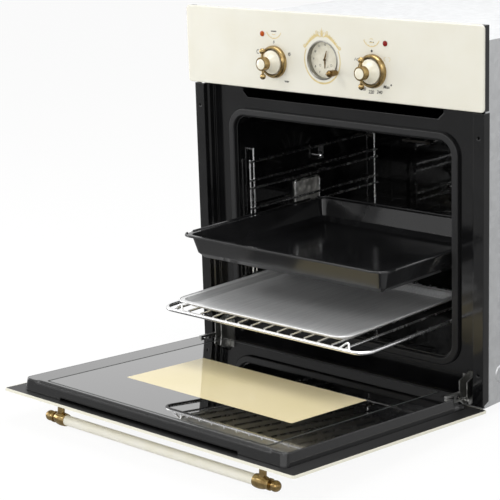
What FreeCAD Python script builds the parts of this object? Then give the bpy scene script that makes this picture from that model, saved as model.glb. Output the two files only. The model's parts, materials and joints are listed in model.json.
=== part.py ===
"""Built-in gas oven, 60 cm class, in ivory with antique-brass trim.

Frame: X to the viewer's right, Y to the back, Z up, millimetres. The origin is on the niche floor, in the
plane of the cabinet's front, midway across. The oven is drawn as photographed: the door open on its stop, the
deep tray and the wire rack pulled out.
"""
import FreeCAD, Part
import math
import os
from FreeCAD import Vector

# Front of the oven
FRONT_W = 596.0            # control panel and door glass
FRONT_H = 590.0            # top of the panel above the niche floor
FRONT_PROUD = 24.0         # front plane ahead of the cabinet's front
PANEL_H = 127.0
PANEL_LOW = FRONT_H - PANEL_H
PANEL_SHEET = 1.2
PANEL_RIM = 3.5            # depth of the panel's rolled edge
PANEL_RIM_WALL = 2.4
PANEL_CORNER = 6.0
PANEL_EDGE_ROUND = 2.2
PANEL_RETURN_INSET = 12.0  # the returns stop short of the end caps
PANEL_HOLLOW = 15.0        # panel front to the chassis plate behind it
CAP_WALL = 2.0
CAP_REACH = 10.0
CAP_INSET = 1.0
CHASSIS_SHEET = 1.0
CHASSIS_INSET = 5.0        # chassis plate inside the panel's outline
CHASSIS_TAB_D = 48.0
CHASSIS_TAB_GAP = 0.5      # front frame to the chassis tabs above it
CHASSIS_FLANGE_INSET = 9.0

# Casing
BODY_INSET = 19.0          # casing inside the front, at each side
BODY_DROP = 27.0           # casing's top below the panel's top
BODY_W = FRONT_W - 2 * BODY_INSET
BODY_D = 543.0
BODY_H = FRONT_H - BODY_DROP
SIDE_X = BODY_W / 2
CASE_SHEET = 1.0
SKIRT_H = 85.0             # top cover's skirt down each side
SEAM_H = BODY_H - SKIRT_H
SIDE_LAP = 12.0            # side panel behind the skirt
SIDE_FLANGE = 11.0
FLANGE_NOTCH = 1.0         # side panel's flange stops this far below the chassis tab
BASE_LIP = 6.0             # base pan ahead of the cabinet's front
BASE_FLANGE = 15.0
BOSS_R = 14.0              # pressed round on each side panel
BOSS_RISE = 1.5
BOSS_Y = 50.0
BOSS_Z = 46.0
SLOT_W = 5.0
SLOT_L = 16.0
TOP_SLOT_L = 60.0
TOP_SLOT_W = 6.0
TOP_SLOT_PITCH = 90.0
TOP_SLOT_COUNT = 5
TOP_SLOT_INSET = 60.0
BACK_SLOT_L = 110.0
BACK_SLOT_PITCH = 14.0
BACK_SLOT_COUNT = 6

# Front frame and side trims
FRAME_Y = 7.0              # front face of the black frame
FRAME_T = 1.2
FRAME_LAP = 7.0            # frame behind the panel's lower edge
OPEN_LIP = 2.5             # opening inside the chamber wall, at each side
OPEN_DROP = 55.5           # opening below the panel
OPEN_BOTTOM = 71.0
OPEN_TOP = PANEL_LOW - OPEN_DROP
OPEN_CORNER = 22.0
COLLAR_T = 1.6
COLLAR_D = 7.0
COLLAR_ROUND = 1.0         # soft edge round the opening
SEAL_GAP = 2.5             # opening edge to the seal
SEAL_W = 12.0
SEAL_T = 6.4
SEAL_ROUND = 2.5
VENT_INSET = 18.0          # vent slot inside the chamber wall, at each side
VENT_H = 15.0
VENT_CHAMFER = 10.0
TRIM_INSET = 6.0           # trim inside the front
TRIM_LAP = 8.5             # trim's inner wall inside the casing's side
TRIM_FRONT = 15.0          # trim front ahead of the cabinet's front
TRIM_T = 1.2
TRIM_STEP = 2.5
TRIM_STEP_Y = -6.0
TRIM_FOOT = 4.5
TRIM_BOTTOM = 11.0
TRIM_CHAMFER = 9.0
TRIM_TOP_GAP = 3.0
FIX_HOLE_R = 2.5
FIX_LOW = 60.0
FIX_HIGH = PANEL_LOW - 40.0

# Oven chamber
CAVITY_INSET = 57.0        # chamber wall inside the casing's side
CAVITY_W = BODY_W - 2 * CAVITY_INSET
CAVITY_LIP = 3.5           # chamber's top above the opening
CAVITY_BOTTOM = 46.0
CAVITY_TOP = OPEN_TOP + CAVITY_LIP
WALL_X = CAVITY_W / 2
OPEN_W = CAVITY_W - 2 * OPEN_LIP
VENT_W = CAVITY_W - 2 * VENT_INSET
CAVITY_BACK = 425.0
CAVITY_T = 1.2
CAVITY_CORNER = 28.0
BACK_PLATE_LAP = 9.0
WOOL_T = 20.0
WOOL_CLEAR = 0.3
FLOOR_Z = 66.0
FLOOR_T = 1.2
FLOOR_INSET = 8.0          # floor plate to the chamber walls
FLOOR_W = CAVITY_W - 2 * FLOOR_INSET
FLOOR_LEG_INSET = 30.0
FLOOR_SLOT_L = 30.0
FLOOR_SLOT_W = 6.0
FLOOR_SLOT_PITCH = 42.0
FLOOR_SLOT_EDGE = 16.0
DUCT_LIFT = 7.5            # duct above the chamber's wool
DUCT_TAIL_W = 90.0
DUCT_STRAIGHT = 52.0
DUCT_BACK_Y = 410.0
DUCT_T = 1.0
FLUE_R = 18.0
FLUE_Y = 385.0

# Side racks of chromed wire
WIRE_R = 2.0
RUNG_OFF = 11.5            # rung axis to the chamber wall
RUNG_X = WALL_X - RUNG_OFF
POST_STEP = 3.4            # posts stand this far outside the rungs
RUNG_RACK = 119.0          # heights of the lower rung of each pair
RUNG_FREE = 175.5
RUNG_TRAY = 232.0
RUNG_HIGH = 280.5
RUNG_PAIR = 13.5
RUNG_TOP = 326.0
RUNG_PAST = 1.5            # rung ends past the outer posts
RACK_FRONT = 29.5
RACK_FRONT_STEP = 9.0
RACK_BACK = 364.0
RACK_TOP = 348.0
RACK_TAIL = 8.0
PEG_R = 1.6
RACK_SCREW_Y = 211.0
RACK_SCREW_DROP = 18.3
RACK_TAB_W = 12.0
RACK_TAB_T = 2.0
SCREW_HEAD_R = 4.5
SCREW_HEAD_H = 2.6
SCREW_R = 2.4
SCREW_SHOULDER_R = 4.0
FIT = 0.05                 # radial clearance of shafts and pins
SEAT = 0.3                 # what slides lies this far above its rail

# Ware
TRAY_LAP = 0.5             # tray's edge past the rung axis
TRAY_W = 2 * (RUNG_X + TRAY_LAP)
TRAY_D = 358.0
TRAY_H = 38.0
TRAY_PULL = 149.0          # front of the tray ahead of the cabinet's front
TRAY_T = 1.2
TRAY_RIM = 12.0
TRAY_DRAFT = 8.0
TRAY_CORNER = 13.0
TRAY_NOTCH_W = 12.0
TRAY_NOTCH_D = 3.0
TRAY_NOTCH_INSET = 24.0
GRID_IN = 2.2              # frame wire's axis inside the rung axis
GRID_W = 2 * (RUNG_X - GRID_IN)
GRID_D = 351.0
GRID_PULL = 195.0
GRID_WIRE_R = 3.0
GRID_CROSS_R = 1.8
GRID_CORNER = 22.0
GRID_PITCH = 27.0
GRID_WELD = 0.6
HOOK_WIRE_R = 1.6
HOOK_X = 172.0
HOOK_W = 18.0
HOOK_RISE = 10.0
SHEET_W = 352.0
SHEET_SHIFT = -10.0        # laid a little left of the middle
SHEET_D = 300.0
SHEET_H = 10.0
SHEET_T = 1.0
SHEET_RIM = 7.0
SHEET_DRAFT = 5.0
SHEET_CORNER = 16.0
SHEET_SETBACK = 5.0
SHEET_BEAD_R = 1.4         # rolled edge

# Lamp, grill, fan
LAMP_Y = 182.0
LAMP_Z = 243.0
LAMP_D = 60.0
LAMP_HIGH = 52.0
LAMP_LENS_LAP = 3.0
LAMP_LENS_T = 3.0
LAMP_LENS_CORNER = 5.0
LAMP_CAN_DEPTH = 35.0
LAMP_CAN_WALL = 4.0
GRILL_DROP = 15.0          # heater axis below the ceiling
GRILL_Z = CAVITY_TOP - GRILL_DROP
GRILL_R = 3.25
GRILL_INSET = 62.0
GRILL_W = CAVITY_W - 2 * GRILL_INSET
GRILL_FRONT = 70.0
GRILL_BACK = 360.0
GRILL_TAIL = 25.0
GRILL_BEND = 20.0
GRILL_PLATE_W = 70.0
GRILL_PLATE_H = 18.0
GRILL_PLATE_T = 1.5
GRILL_HANGER_W = 10.0
GRILL_HANGER_T = 2.0
FAN_UP = 4.5               # fan axis above the chamber's middle
FAN_Z = (CAVITY_BOTTOM + CAVITY_TOP) / 2 + FAN_UP
FAN_COVER_R = 117.0
FAN_COVER_LIP = 11.0
FAN_COVER_H = 21.0
FAN_COVER_T = 1.2
FAN_COVER_DRAFT = 8.0
FAN_SLOTS = 20
FAN_SLOT_IN = 34.0
FAN_SLOT_OUT = 82.0
FAN_SLOT_W = 5.0
FAN_R = 78.0
FAN_BLADES = 10
FAN_BLADE_T = 1.2
FAN_BLADE_H = 10.0
FAN_GAP = 3.5
FAN_HUB_R = 12.0
FAN_SHAFT_R = 3.0
MOTOR_R = 32.0
MOTOR_L = 54.0
MOTOR_PLATE = 80.0
MOTOR_PLATE_T = 2.0
BULB_ROD_R = 3.0
BULB_ROD_L = 60.0
BULB_ROD_IN = 92.0         # rod's end from the left wall
BULB_ROD_X = BULB_ROD_IN - WALL_X
BULB_ROD_Z = 305.0
BULB_ROD_OFF = 7.0

# Gas side and controls
CONTROL_MID = -4.8         # the controls sit a little left of the middle
KNOB_SPREAD = 199.5
KNOB_UP = 46.0             # knob axis above the panel's lower edge
KNOB_Z = PANEL_LOW + KNOB_UP
SWITCH_X = CONTROL_MID - KNOB_SPREAD / 2
GAS_X = CONTROL_MID + KNOB_SPREAD / 2
BURNER_Z = 56.0
BURNER_R = 8.0
BURNER_BORE = 6.5
BURNER_FRONT = 70.0
BURNER_END = 330.0
BURNER_BEND = 40.0
BURNER_TAIL = 14.0
BURNER_LEG_W = 24.0
BURNER_LEG_T = 3.0
PROBE_Y = 150.0
PROBE_L = 80.0
PROBE_PLATE_L = 40.0
PROBE_PLATE_H = 12.0
PROBE_PLATE_T = 2.0
ELECTRODE_R = 3.0
ELECTRODE_OUT = 16.0       # out from the burner's axis
COUPLE_R = 2.2
COUPLE_OUT = 30.0
INJECTOR_HEX = 10.0
INJECTOR_L = 14.0
INJECTOR_STRAP_T = 4.0
INJECTOR_FOOT = 18.0
PIPE_R = 5.0
PIPE_BEND = 25.0
INLET_R = 8.0
INLET_X = SIDE_X - 39.0
INLET_Y = 20.0
INLET_THREAD_R = 10.48
INLET_THREAD_L = 20.0
INLET_HEX_R = 14.0
INLET_HEX_L = 8.0
VALVE_L = 54.0
VALVE_R = 15.0
VALVE_NOSE_L = 10.0
VALVE_SLOPE = 4.0
VALVE_BODY_L = 20.0
VALVE_ARM = 29.0
VALVE_PLATE_W = 44.0
VALVE_PLATE_H = 26.0
VALVE_PLATE_T = 3.0
SWITCH_W = 42.0
SWITCH_L = 32.0
SPINDLE_R = 3.0
SPINDLE_DEEP = 20.0
SPINDLE_TIP = 15.0         # spindle end ahead of the panel
SPINDLE_HOLE_R = 6.0
RING_R = 26.0
RING_WALL = 4.6
RING_H = 8.0
RING_SLOPE = 2.0           # inner wall leans in towards the panel
KNOB_R = 18.8
KNOB_SMALL_R = 10.0
KNOB_LIFT = 5.2            # knob base ahead of the panel; leaves room for the push
KNOB_CONE_END = 21.5
KNOB_NECK_R = 8.2
KNOB_NECK_END = 33.0
KNOB_L = 34.0
KNOB_BORE_END = 20.0
TIP_FLAT = 0.6             # flat at the middle of a domed tip
COLLAR_R = 10.8
COLLAR_EDGE = 0.8          # chamfers and groove of the collar
CROSSBAR_R = 2.0
CROSSBAR_AT = 28.0
BALL_OFFSET = 20.0
BALL_R = 4.8
LAMP_SPREAD = 248.2
LAMP_UP = 89.3
LAMP_HEIGHT = PANEL_LOW + LAMP_UP
LENS_R = 4.2
LENS_H = 2.6
LENS_STEM_R = 2.4
CLOCK_X = CONTROL_MID
CLOCK_UP = 55.3
CLOCK_Z = PANEL_LOW + CLOCK_UP
CLOCK_R = 28.4
BEZEL_LIP = 2.4
BEZEL_R = CLOCK_R + BEZEL_LIP
BEZEL_H = 1.2
BEZEL_WALL = 1.2
BEZEL_CLEAR = 0.3
DIAL_DEPTH = 7.0
DIAL_T = 0.8
HAND_T = 0.6
HOUR_L = 13.5
MINUTE_L = 15.0
HOUR_TURN = 181.5          # clockwise from twelve, degrees
MINUTE_TURN = 18.0
HAND_W = 2.6
ARBOR_R = 1.0
MOVEMENT_L = 33.0
SET_R = 5.5
SET_STEM_R = 1.8
SET_GAP = 0.9              # setting stem to the bezel
SET_START = 3.0
SET_END = 23.5
SET_ANGLE = -30.0          # from the clock's middle, degrees above the right
SET_REACH = BEZEL_R + SET_GAP + SET_STEM_R
SET_X = CLOCK_X + SET_REACH * math.cos(math.radians(SET_ANGLE))
SET_Z = CLOCK_Z + SET_REACH * math.sin(math.radians(SET_ANGLE))
MOVEMENT_FLANGE_EDGE = 6.0
MOVEMENT_FLANGE_R = SET_REACH + MOVEMENT_FLANGE_EDGE
TERMINAL_X = 47.0 - SIDE_X
TERMINAL_Z = BODY_H - 43.0
TERMINAL_W = 60.0
TERMINAL_H = 40.0
TERMINAL_D = 22.0
GLAND_R = 8.0
GLAND_L = 10.0

# Door
DOOR_BOTTOM = 14.0         # lower edge of the door glass, shut
DOOR_OPEN = 85.7           # degrees from shut to the open stop
DOOR_GAP = 3.0             # door glass to panel
DOOR_H = PANEL_LOW - DOOR_GAP - DOOR_BOTTOM
GLASS_T = 4.0
GLASS_CORNER = 5.0
DOOR_T = 24.0
PAN_T = 1.2
PAN_INSET = 28.0           # pan inside the glass at the sides
PAN_TOP_INSET = 14.0
PAN_BOTTOM_INSET = 12.0
PAN_DRAFT = 2.5
PAN_FOOT_DRAFT = 7.0
PAN_CORNER = 10.0
INNER_LAP = 6.5            # inner glass past the opening
INNER_W = OPEN_W + 2 * INNER_LAP
INNER_LOW = 28.0
INNER_DROP = 28.0          # inner glass below the outer one's top edge
INNER_HIGH = DOOR_H - INNER_DROP
INNER_CORNER = 4.0
INNER_CLEAR = 1.5
LEDGE_W = 14.0
AIR_SLOT_INSET = 42.0
AIR_SLOT_W = INNER_W - 2 * AIR_SLOT_INSET
AIR_SLOT_H = 4.5
STEP_INSET = 60.0
STEP_W = FRONT_W - 2 * STEP_INSET
STEP_D = 7.0
STEP_H = 3.0
PIVOT_IN = 12.0            # hinge axis behind the glass face
PIVOT_UP = 1.0             # hinge axis above the glass's lower edge
HINGE_X = SIDE_X - 22.0
CHEEK_T = 2.0
CHEEK_GAP = 12.0
CHEEK_NOSE_R = 5.2
CHEEK_FRONT = 46.0
CHEEK_BACK = 55.0
HINGE_TAB = 9.0
HINGE_TAB_T = 1.2
CASSETTE_L = 140.0
CASSETTE_Z = 9.0
HINGE_SLOT_CLEAR = 1.0
PIN_R = 3.0
PIN_HEAD_R = 4.5
PIN_HEAD_T = 1.5
ARM_T = 5.0
ARM_EYE_R = 5.5
ARM_L = 150.0
ARM_HALF = 4.0
CLAW_FROM = 15.0
CLAW_TO = 52.0
CLAW_T = 3.6
CLAW_NECK = 6.0
POCKET_W = 22.5
POCKET_L = 46.0
POCKET_FLOOR = 2.4
SIDE_SLANT = 28.0
HANDLE_DROP = 39.0         # handle axis below the glass's top edge
HANDLE_UP = DOOR_H - HANDLE_DROP
HANDLE_OFF = 34.5          # handle axis ahead of the glass
POST_IN = 89.0             # post inside the glass's side
POST_X = FRONT_W / 2 - POST_IN
HANDLE_SHORT = 7.0         # tube's end inside the post
HANDLE_L = 2 * (POST_X - HANDLE_SHORT)
HANDLE_R = 8.0
FERRULE_LAP = 6.0
FERRULE_R = 10.4
FERRULE_WALL = 1.4
FERRULE_L = 19.0
FERRULE_NECK_R = 7.2
FERRULE_BELLY = 8.0        # mouth to the widest place
FERRULE_WAIST = 3.6        # tip to where the belly ends
NECK_RING_R = 8.7
NECK_RING_L = 3.6
NECK_L = 2.0
FINIAL_R = 8.2
FINIAL_NECK_R = 5.2
POST_R = 5.5
POST_FOOT_R = 8.0
POST_FOOT_T = 3.0
STUD_R = 3.0
STUD_L = 9.0
NUT_R = 6.0
NUT_T = 3.5

# Places that several pieces share
FRONT_Y = -FRONT_PROUD
CHASSIS_Y = FRONT_Y + PANEL_HOLLOW
CHASSIS_BACK = CHASSIS_Y + CHASSIS_SHEET
FRAME_BACK = FRAME_Y + FRAME_T
FRAME_TOP = PANEL_LOW + FRAME_LAP
POST_WIRE_X = RUNG_X + POST_STEP
BACK_FACE = CAVITY_BACK + CAVITY_T
DUCT_LOW = CAVITY_TOP + CAVITY_T + WOOL_T + DUCT_LIFT
DUCT_HIGH = DUCT_LOW + VENT_H + 2 * DUCT_T
PIVOT_Y = FRONT_Y + PIVOT_IN
PIVOT_Z = DOOR_BOTTOM + PIVOT_UP
TRAY_Z = RUNG_TRAY + WIRE_R + SEAT
GRID_Z = RUNG_RACK + WIRE_R + SEAT + GRID_WIRE_R
GRID_TOP = GRID_Z + GRID_WIRE_R + 2 * GRID_CROSS_R - GRID_WELD
ALONG_X = Vector(1, 0, 0)
ALONG_Y = Vector(0, 1, 0)
ALONG_Z = Vector(0, 0, 1)
FORWARD = Vector(0, -1, 0)


# Helpers for shapes

def box(x0, x1, y0, y1, z0, z1):
    return Part.makeBox(x1 - x0, y1 - y0, z1 - z0, Vector(x0, y0, z0))


def rod(radius, start, end):
    axis = end.sub(start)
    return Part.makeCylinder(radius, axis.Length, start, axis)


def hole(shape, radius, start, end):
    return shape.cut(rod(radius, start, end))


def fused(first, *others):
    return first.fuse(list(others)).removeSplitter()


def mirrored(shape):
    return shape.mirror(Vector(0, 0, 0), ALONG_X)


def both_sides(shape):
    return [mirrored(shape), shape]


def polygon(points, place):
    corners = [place(u, v) for u, v in points]
    return Part.makePolygon(corners + corners[:1])


def prism(wire, direction):
    return Part.Face(wire).extrude(direction)


def at_depth(y):
    return lambda x, z: Vector(x, y, z)


def at_height(z):
    return lambda x, y: Vector(x, y, z)


def at_side(x):
    return lambda y, z: Vector(x, y, z)


def rounded(u0, u1, v0, v1, r, place):
    """Closed rectangle with rounded corners; place turns two flat coordinates into a point."""
    k = r * (1 - math.sqrt(0.5))
    corners = [(u1, v0, -1, 1), (u1, v1, -1, -1), (u0, v1, 1, -1), (u0, v0, 1, 1)]
    edges = []
    previous = place(u0 + r, v0)
    for index, (u, v, su, sv) in enumerate(corners):
        along_u = place(u + su * r, v)
        along_v = place(u, v + sv * r)
        enter, leave = (along_u, along_v) if index % 2 == 0 else (along_v, along_u)
        edges.append(Part.LineSegment(previous, enter).toShape())
        edges.append(Part.Arc(enter, place(u + su * k, v + sv * k), leave).toShape())
        previous = leave
    return Part.Wire(edges)


def ring_plate(half_w, low, high, corner, width, y, depth):
    """Rounded frame standing upright: the inner outline is given, the band lies outside it."""
    outer = rounded(-half_w - width, half_w + width, low - width, high + width, corner + width, at_depth(y))
    inner = rounded(-half_w, half_w, low, high, corner, at_depth(y))
    return prism(outer, Vector(0, depth, 0)).cut(prism(inner, Vector(0, depth, 0)))


def strip(points, thickness):
    """Outline of a bent sheet: a path and its copy moved to the left by the thickness."""
    def left(a, b):
        length = math.hypot(b[0] - a[0], b[1] - a[1])
        return (-(b[1] - a[1]) / length, (b[0] - a[0]) / length)
    moved = []
    for i, (u, v) in enumerate(points):
        first = left(points[max(i - 1, 0)], points[max(i, 1)])
        last = left(points[min(i, len(points) - 2)], points[min(i + 1, len(points) - 1)])
        mitre = thickness / (1 + first[0] * last[0] + first[1] * last[1])
        moved.append((u + (first[0] + last[0]) * mitre, v + (first[1] + last[1]) * mitre))
    return points + moved[::-1]


def turned(profile, origin, axis):
    """Solid of revolution. Profile items are (along, radius), or an arc as (along, radius, end, radius)."""
    side = ALONG_Z if abs(axis.z) < 0.5 else ALONG_X
    def place(along, radius):
        return origin + axis * along + side * radius
    here = place(*profile[-1][-2:])
    edges = []
    for item in profile:
        end = place(*item[-2:])
        if len(item) == 4:
            edges.append(Part.Arc(here, place(*item[:2]), end).toShape())
        elif end.distanceToPoint(here) > 1e-6:
            edges.append(Part.LineSegment(here, end).toShape())
        here = end
    return Part.Face(Part.Wire(edges)).revolve(origin, axis, 360)


def bent_path(points, bend, closed=False):
    """Straight runs joined by tangent arcs."""
    count = len(points)
    edges = []
    turns = range(count) if closed else range(1, count - 1)
    ends = {}
    for i in turns:
        a, b, c = points[i - 1], points[i], points[(i + 1) % count]
        back, on = a.sub(b).normalize(), c.sub(b).normalize()
        half = back.getAngle(on) / 2
        reach = bend / math.tan(half)
        middle = (back + on).normalize()
        apex = b + middle * (bend / math.sin(half) - bend)
        ends[i] = (b + back * reach, apex, b + on * reach)
    start = ends[count - 1][2] if closed else points[0]
    for i in turns:
        edges.append(Part.LineSegment(start, ends[i][0]).toShape())
        edges.append(Part.Arc(*ends[i]).toShape())
        start = ends[i][2]
    if not closed:
        edges.append(Part.LineSegment(start, points[-1]).toShape())
    return Part.Wire(edges)


def tube(points, radius, bend):
    path = bent_path(points, bend)
    section = Part.Wire(Part.makeCircle(radius, points[0], points[1].sub(points[0])))
    return path.makePipeShell([section], True, False)


def round_wire(path, radius):
    """Round wire along a closed path."""
    first = path.Edges[0]
    start = first.valueAt(first.FirstParameter)
    section = Part.Wire(Part.makeCircle(radius, start, first.tangentAt(first.FirstParameter)))
    return path.makePipeShell([section], True, False)


def obround(length, width, centre, along, through):
    """Slot cutter with round ends, long in one direction and deep in another."""
    across = along.cross(through).normalize()
    depth = through.Length
    straight = (length - width) / 2
    start = centre - through * 0.5
    a, b = start - along * straight, start + along * straight
    ends = [Part.makeCylinder(width / 2, depth, p, through) for p in (a, b)]
    p, q = across * (width / 2), along * straight
    corners = [start - q - p, start + q - p, start + q + p, start - q + p]
    middle = Part.Face(Part.makePolygon(corners + corners[:1])).extrude(through)
    return middle.fuse(ends)


def dish(half_w, y0, y1, top, depth, draft, corner, wall, rim):
    """Pressed pan: sloping walls with a soft foot and a flat rim all round."""
    foot = draft
    def block(grow, lift):
        levels = ((0, 0), (depth - foot, draft), (depth, draft + foot))
        wires = []
        for down, inset in levels:
            g = grow - inset
            r = corner + grow - inset * 0.5
            wires.append(rounded(-half_w - g, half_w + g, y0 - g, y1 + g, r, at_height(top - down + lift)))
        return Part.makeLoft(wires, True, True)
    outer = rounded(-half_w - rim, half_w + rim, y0 - rim, y1 + rim, corner + rim, at_height(top - wall))
    plate = prism(outer, Vector(0, 0, wall))
    inside = block(0, wall)
    shell = block(wall, 0).cut(box(-FRONT_W, FRONT_W, -BODY_D, BODY_D, top, top + depth))
    return fused(plate, shell).cut(inside)


# Casing

def base_pan():
    plate = box(-SIDE_X, SIDE_X, -BASE_LIP, BODY_D, 0, CASE_SHEET)
    inner = SIDE_X - CASE_SHEET
    flange = box(inner - CASE_SHEET, inner, FRAME_BACK + CASE_SHEET, BODY_D - CASE_SHEET, CASE_SHEET,
                 CASE_SHEET + BASE_FLANGE)
    return fused(plate, *both_sides(flange))


def side_panel():
    path = [(SIDE_X - SIDE_FLANGE, FRAME_BACK), (SIDE_X, FRAME_BACK), (SIDE_X, BODY_D),
            (SIDE_X - SIDE_FLANGE, BODY_D)]
    height = SEAM_H + SIDE_LAP - CASE_SHEET
    sheet = prism(polygon(strip(path, CASE_SHEET), at_height(CASE_SHEET)), ALONG_Z * height)
    tab_low = FRAME_TOP + CHASSIS_TAB_GAP
    notch = box(SIDE_X - 2 * SIDE_FLANGE, SIDE_X - CASE_SHEET, FRAME_BACK, FRAME_BACK + CASE_SHEET,
                tab_low - FLANGE_NOTCH, SEAM_H + 2 * SIDE_LAP)
    boss_at = Vector(SIDE_X, BOSS_Y, BOSS_Z)
    boss = Part.makeCone(BOSS_R, BOSS_R - BOSS_RISE, BOSS_RISE, boss_at, ALONG_X)
    slot = obround(SLOT_L, SLOT_W, boss_at, ALONG_Z, ALONG_X * (2 * (BOSS_RISE + CASE_SHEET)))
    return fused(sheet, boss).cut([slot, notch])


def top_cover():
    half = SIDE_X + CASE_SHEET
    path = [(-half, SEAM_H), (-half, BODY_H), (half, BODY_H), (half, SEAM_H)]
    length = BODY_D + CASE_SHEET - FRAME_BACK
    cover = prism(polygon(strip(path, -CASE_SHEET), at_depth(FRAME_BACK)), ALONG_Y * length)
    for i in range(TOP_SLOT_COUNT):
        x = (i - (TOP_SLOT_COUNT - 1) / 2) * TOP_SLOT_PITCH
        centre = Vector(x, BODY_D - TOP_SLOT_INSET, BODY_H)
        cover = cover.cut(obround(TOP_SLOT_L, TOP_SLOT_W, centre, ALONG_X, ALONG_Z * (4 * CASE_SHEET)))
    return cover


def back_panel():
    panel = box(-SIDE_X, SIDE_X, BODY_D, BODY_D + CASE_SHEET, 0, BODY_H - CASE_SHEET)
    for i in range(BACK_SLOT_COUNT):
        z = FAN_Z + (i - (BACK_SLOT_COUNT - 1) / 2) * BACK_SLOT_PITCH
        centre = Vector(0, BODY_D, z)
        panel = panel.cut(obround(BACK_SLOT_L, SLOT_W, centre, ALONG_X, ALONG_Y * (4 * CASE_SHEET)))
    start = Vector(INLET_X, BODY_D - 1, KNOB_Z)
    return hole(panel, INLET_R + 0.5, start, start + ALONG_Y * 4)


def front_frame():
    half = SIDE_X - CASE_SHEET
    plate = box(-half, half, FRAME_Y, FRAME_BACK, CASE_SHEET, FRAME_TOP)
    opening = rounded(-OPEN_W / 2, OPEN_W / 2, OPEN_BOTTOM, OPEN_TOP, OPEN_CORNER, at_depth(FRAME_Y - 1))
    plate = plate.cut(prism(opening, ALONG_Y * (FRAME_T + 2)))
    collar = ring_plate(OPEN_W / 2, OPEN_BOTTOM, OPEN_TOP, OPEN_CORNER, COLLAR_T, FRAME_Y, COLLAR_D)
    low, high = DUCT_LOW + DUCT_T, DUCT_HIGH - DUCT_T
    x, c = VENT_W / 2, VENT_CHAMFER
    vent = [(-x, high), (-x, low + c), (-x + c, low), (x - c, low), (x, low + c), (x, high)]
    plate = plate.cut(prism(polygon(vent, at_depth(FRAME_Y - 1)), ALONG_Y * (FRAME_T + 2)))
    reach = CHEEK_GAP / 2 + CHEEK_T + HINGE_SLOT_CLEAR
    slot = box(HINGE_X - reach, HINGE_X + reach, FRAME_Y - 1, FRAME_BACK + 1, CASSETTE_Z - HINGE_SLOT_CLEAR,
               CHEEK_BACK + HINGE_SLOT_CLEAR)
    frame = fused(plate, collar)
    mouth = [e for e in frame.Edges if e.BoundBox.YMax < FRAME_Y + FIT and e.BoundBox.ZMax < OPEN_TOP + FIT
             and e.BoundBox.ZMin > OPEN_BOTTOM - FIT and abs(e.BoundBox.Center.x) < OPEN_W / 2 + FIT]
    return frame.makeFillet(COLLAR_ROUND, mouth).cut(both_sides(slot))


def side_trim():
    outer = FRONT_W / 2 - TRIM_INSET
    inner = SIDE_X - TRIM_LAP
    face = inner + TRIM_STEP
    foot = FRAME_Y - TRIM_T
    path = [(outer, 0), (outer, -TRIM_FRONT), (face, -TRIM_FRONT), (face, TRIM_STEP_Y),
            (inner, TRIM_STEP_Y + TRIM_STEP), (inner, foot), (inner - TRIM_FOOT, foot)]
    length = PANEL_LOW - TRIM_TOP_GAP - TRIM_BOTTOM
    trim = prism(polygon(strip(path, -TRIM_T), at_height(TRIM_BOTTOM)), ALONG_Z * length)
    chamfer = [(-TRIM_FRONT, TRIM_BOTTOM), (FRAME_Y, TRIM_BOTTOM), (FRAME_Y, TRIM_BOTTOM + TRIM_CHAMFER)]
    trim = trim.cut(prism(polygon(chamfer, at_side(0)), ALONG_X * FRONT_W))
    x = (outer + face) / 2
    for z in (FIX_LOW, FIX_HIGH):
        start = Vector(x, -TRIM_FRONT - 1, z)
        trim = hole(trim, FIX_HOLE_R, start, start + ALONG_Y * (TRIM_T + 2))
    return trim


# Oven chamber

def cavity_shell():
    shell = ring_plate(WALL_X, CAVITY_BOTTOM, CAVITY_TOP, CAVITY_CORNER, CAVITY_T, FRAME_BACK,
                       CAVITY_BACK - FRAME_BACK)
    lamp = box(-WALL_X - 2 * CAVITY_T, -WALL_X + CAVITY_T, LAMP_Y - LAMP_D / 2, LAMP_Y + LAMP_D / 2,
               LAMP_Z - LAMP_HIGH / 2, LAMP_Z + LAMP_HIGH / 2)
    shell = shell.cut(lamp)
    z = RUNG_TOP - RACK_SCREW_DROP
    shell = hole(shell, SCREW_R + FIT, Vector(-FRONT_W, RACK_SCREW_Y, z), Vector(FRONT_W, RACK_SCREW_Y, z))
    return hole(shell, FLUE_R, Vector(0, FLUE_Y, LAMP_Z), Vector(0, FLUE_Y, BODY_H))


def cavity_back():
    lap = BACK_PLATE_LAP
    outline = rounded(-WALL_X - lap, WALL_X + lap, CAVITY_BOTTOM - lap, CAVITY_TOP + lap, CAVITY_CORNER + lap,
                      at_depth(CAVITY_BACK))
    plate = prism(outline, ALONG_Y * CAVITY_T)
    for radius, x, z in ((2 * FAN_SHAFT_R, 0, FAN_Z), (BURNER_R + 0.5, GAS_X, BURNER_Z)):
        start = Vector(x, CAVITY_BACK - 1, z)
        plate = hole(plate, radius, start, start + ALONG_Y * (CAVITY_T + 2))
    return plate


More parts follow.
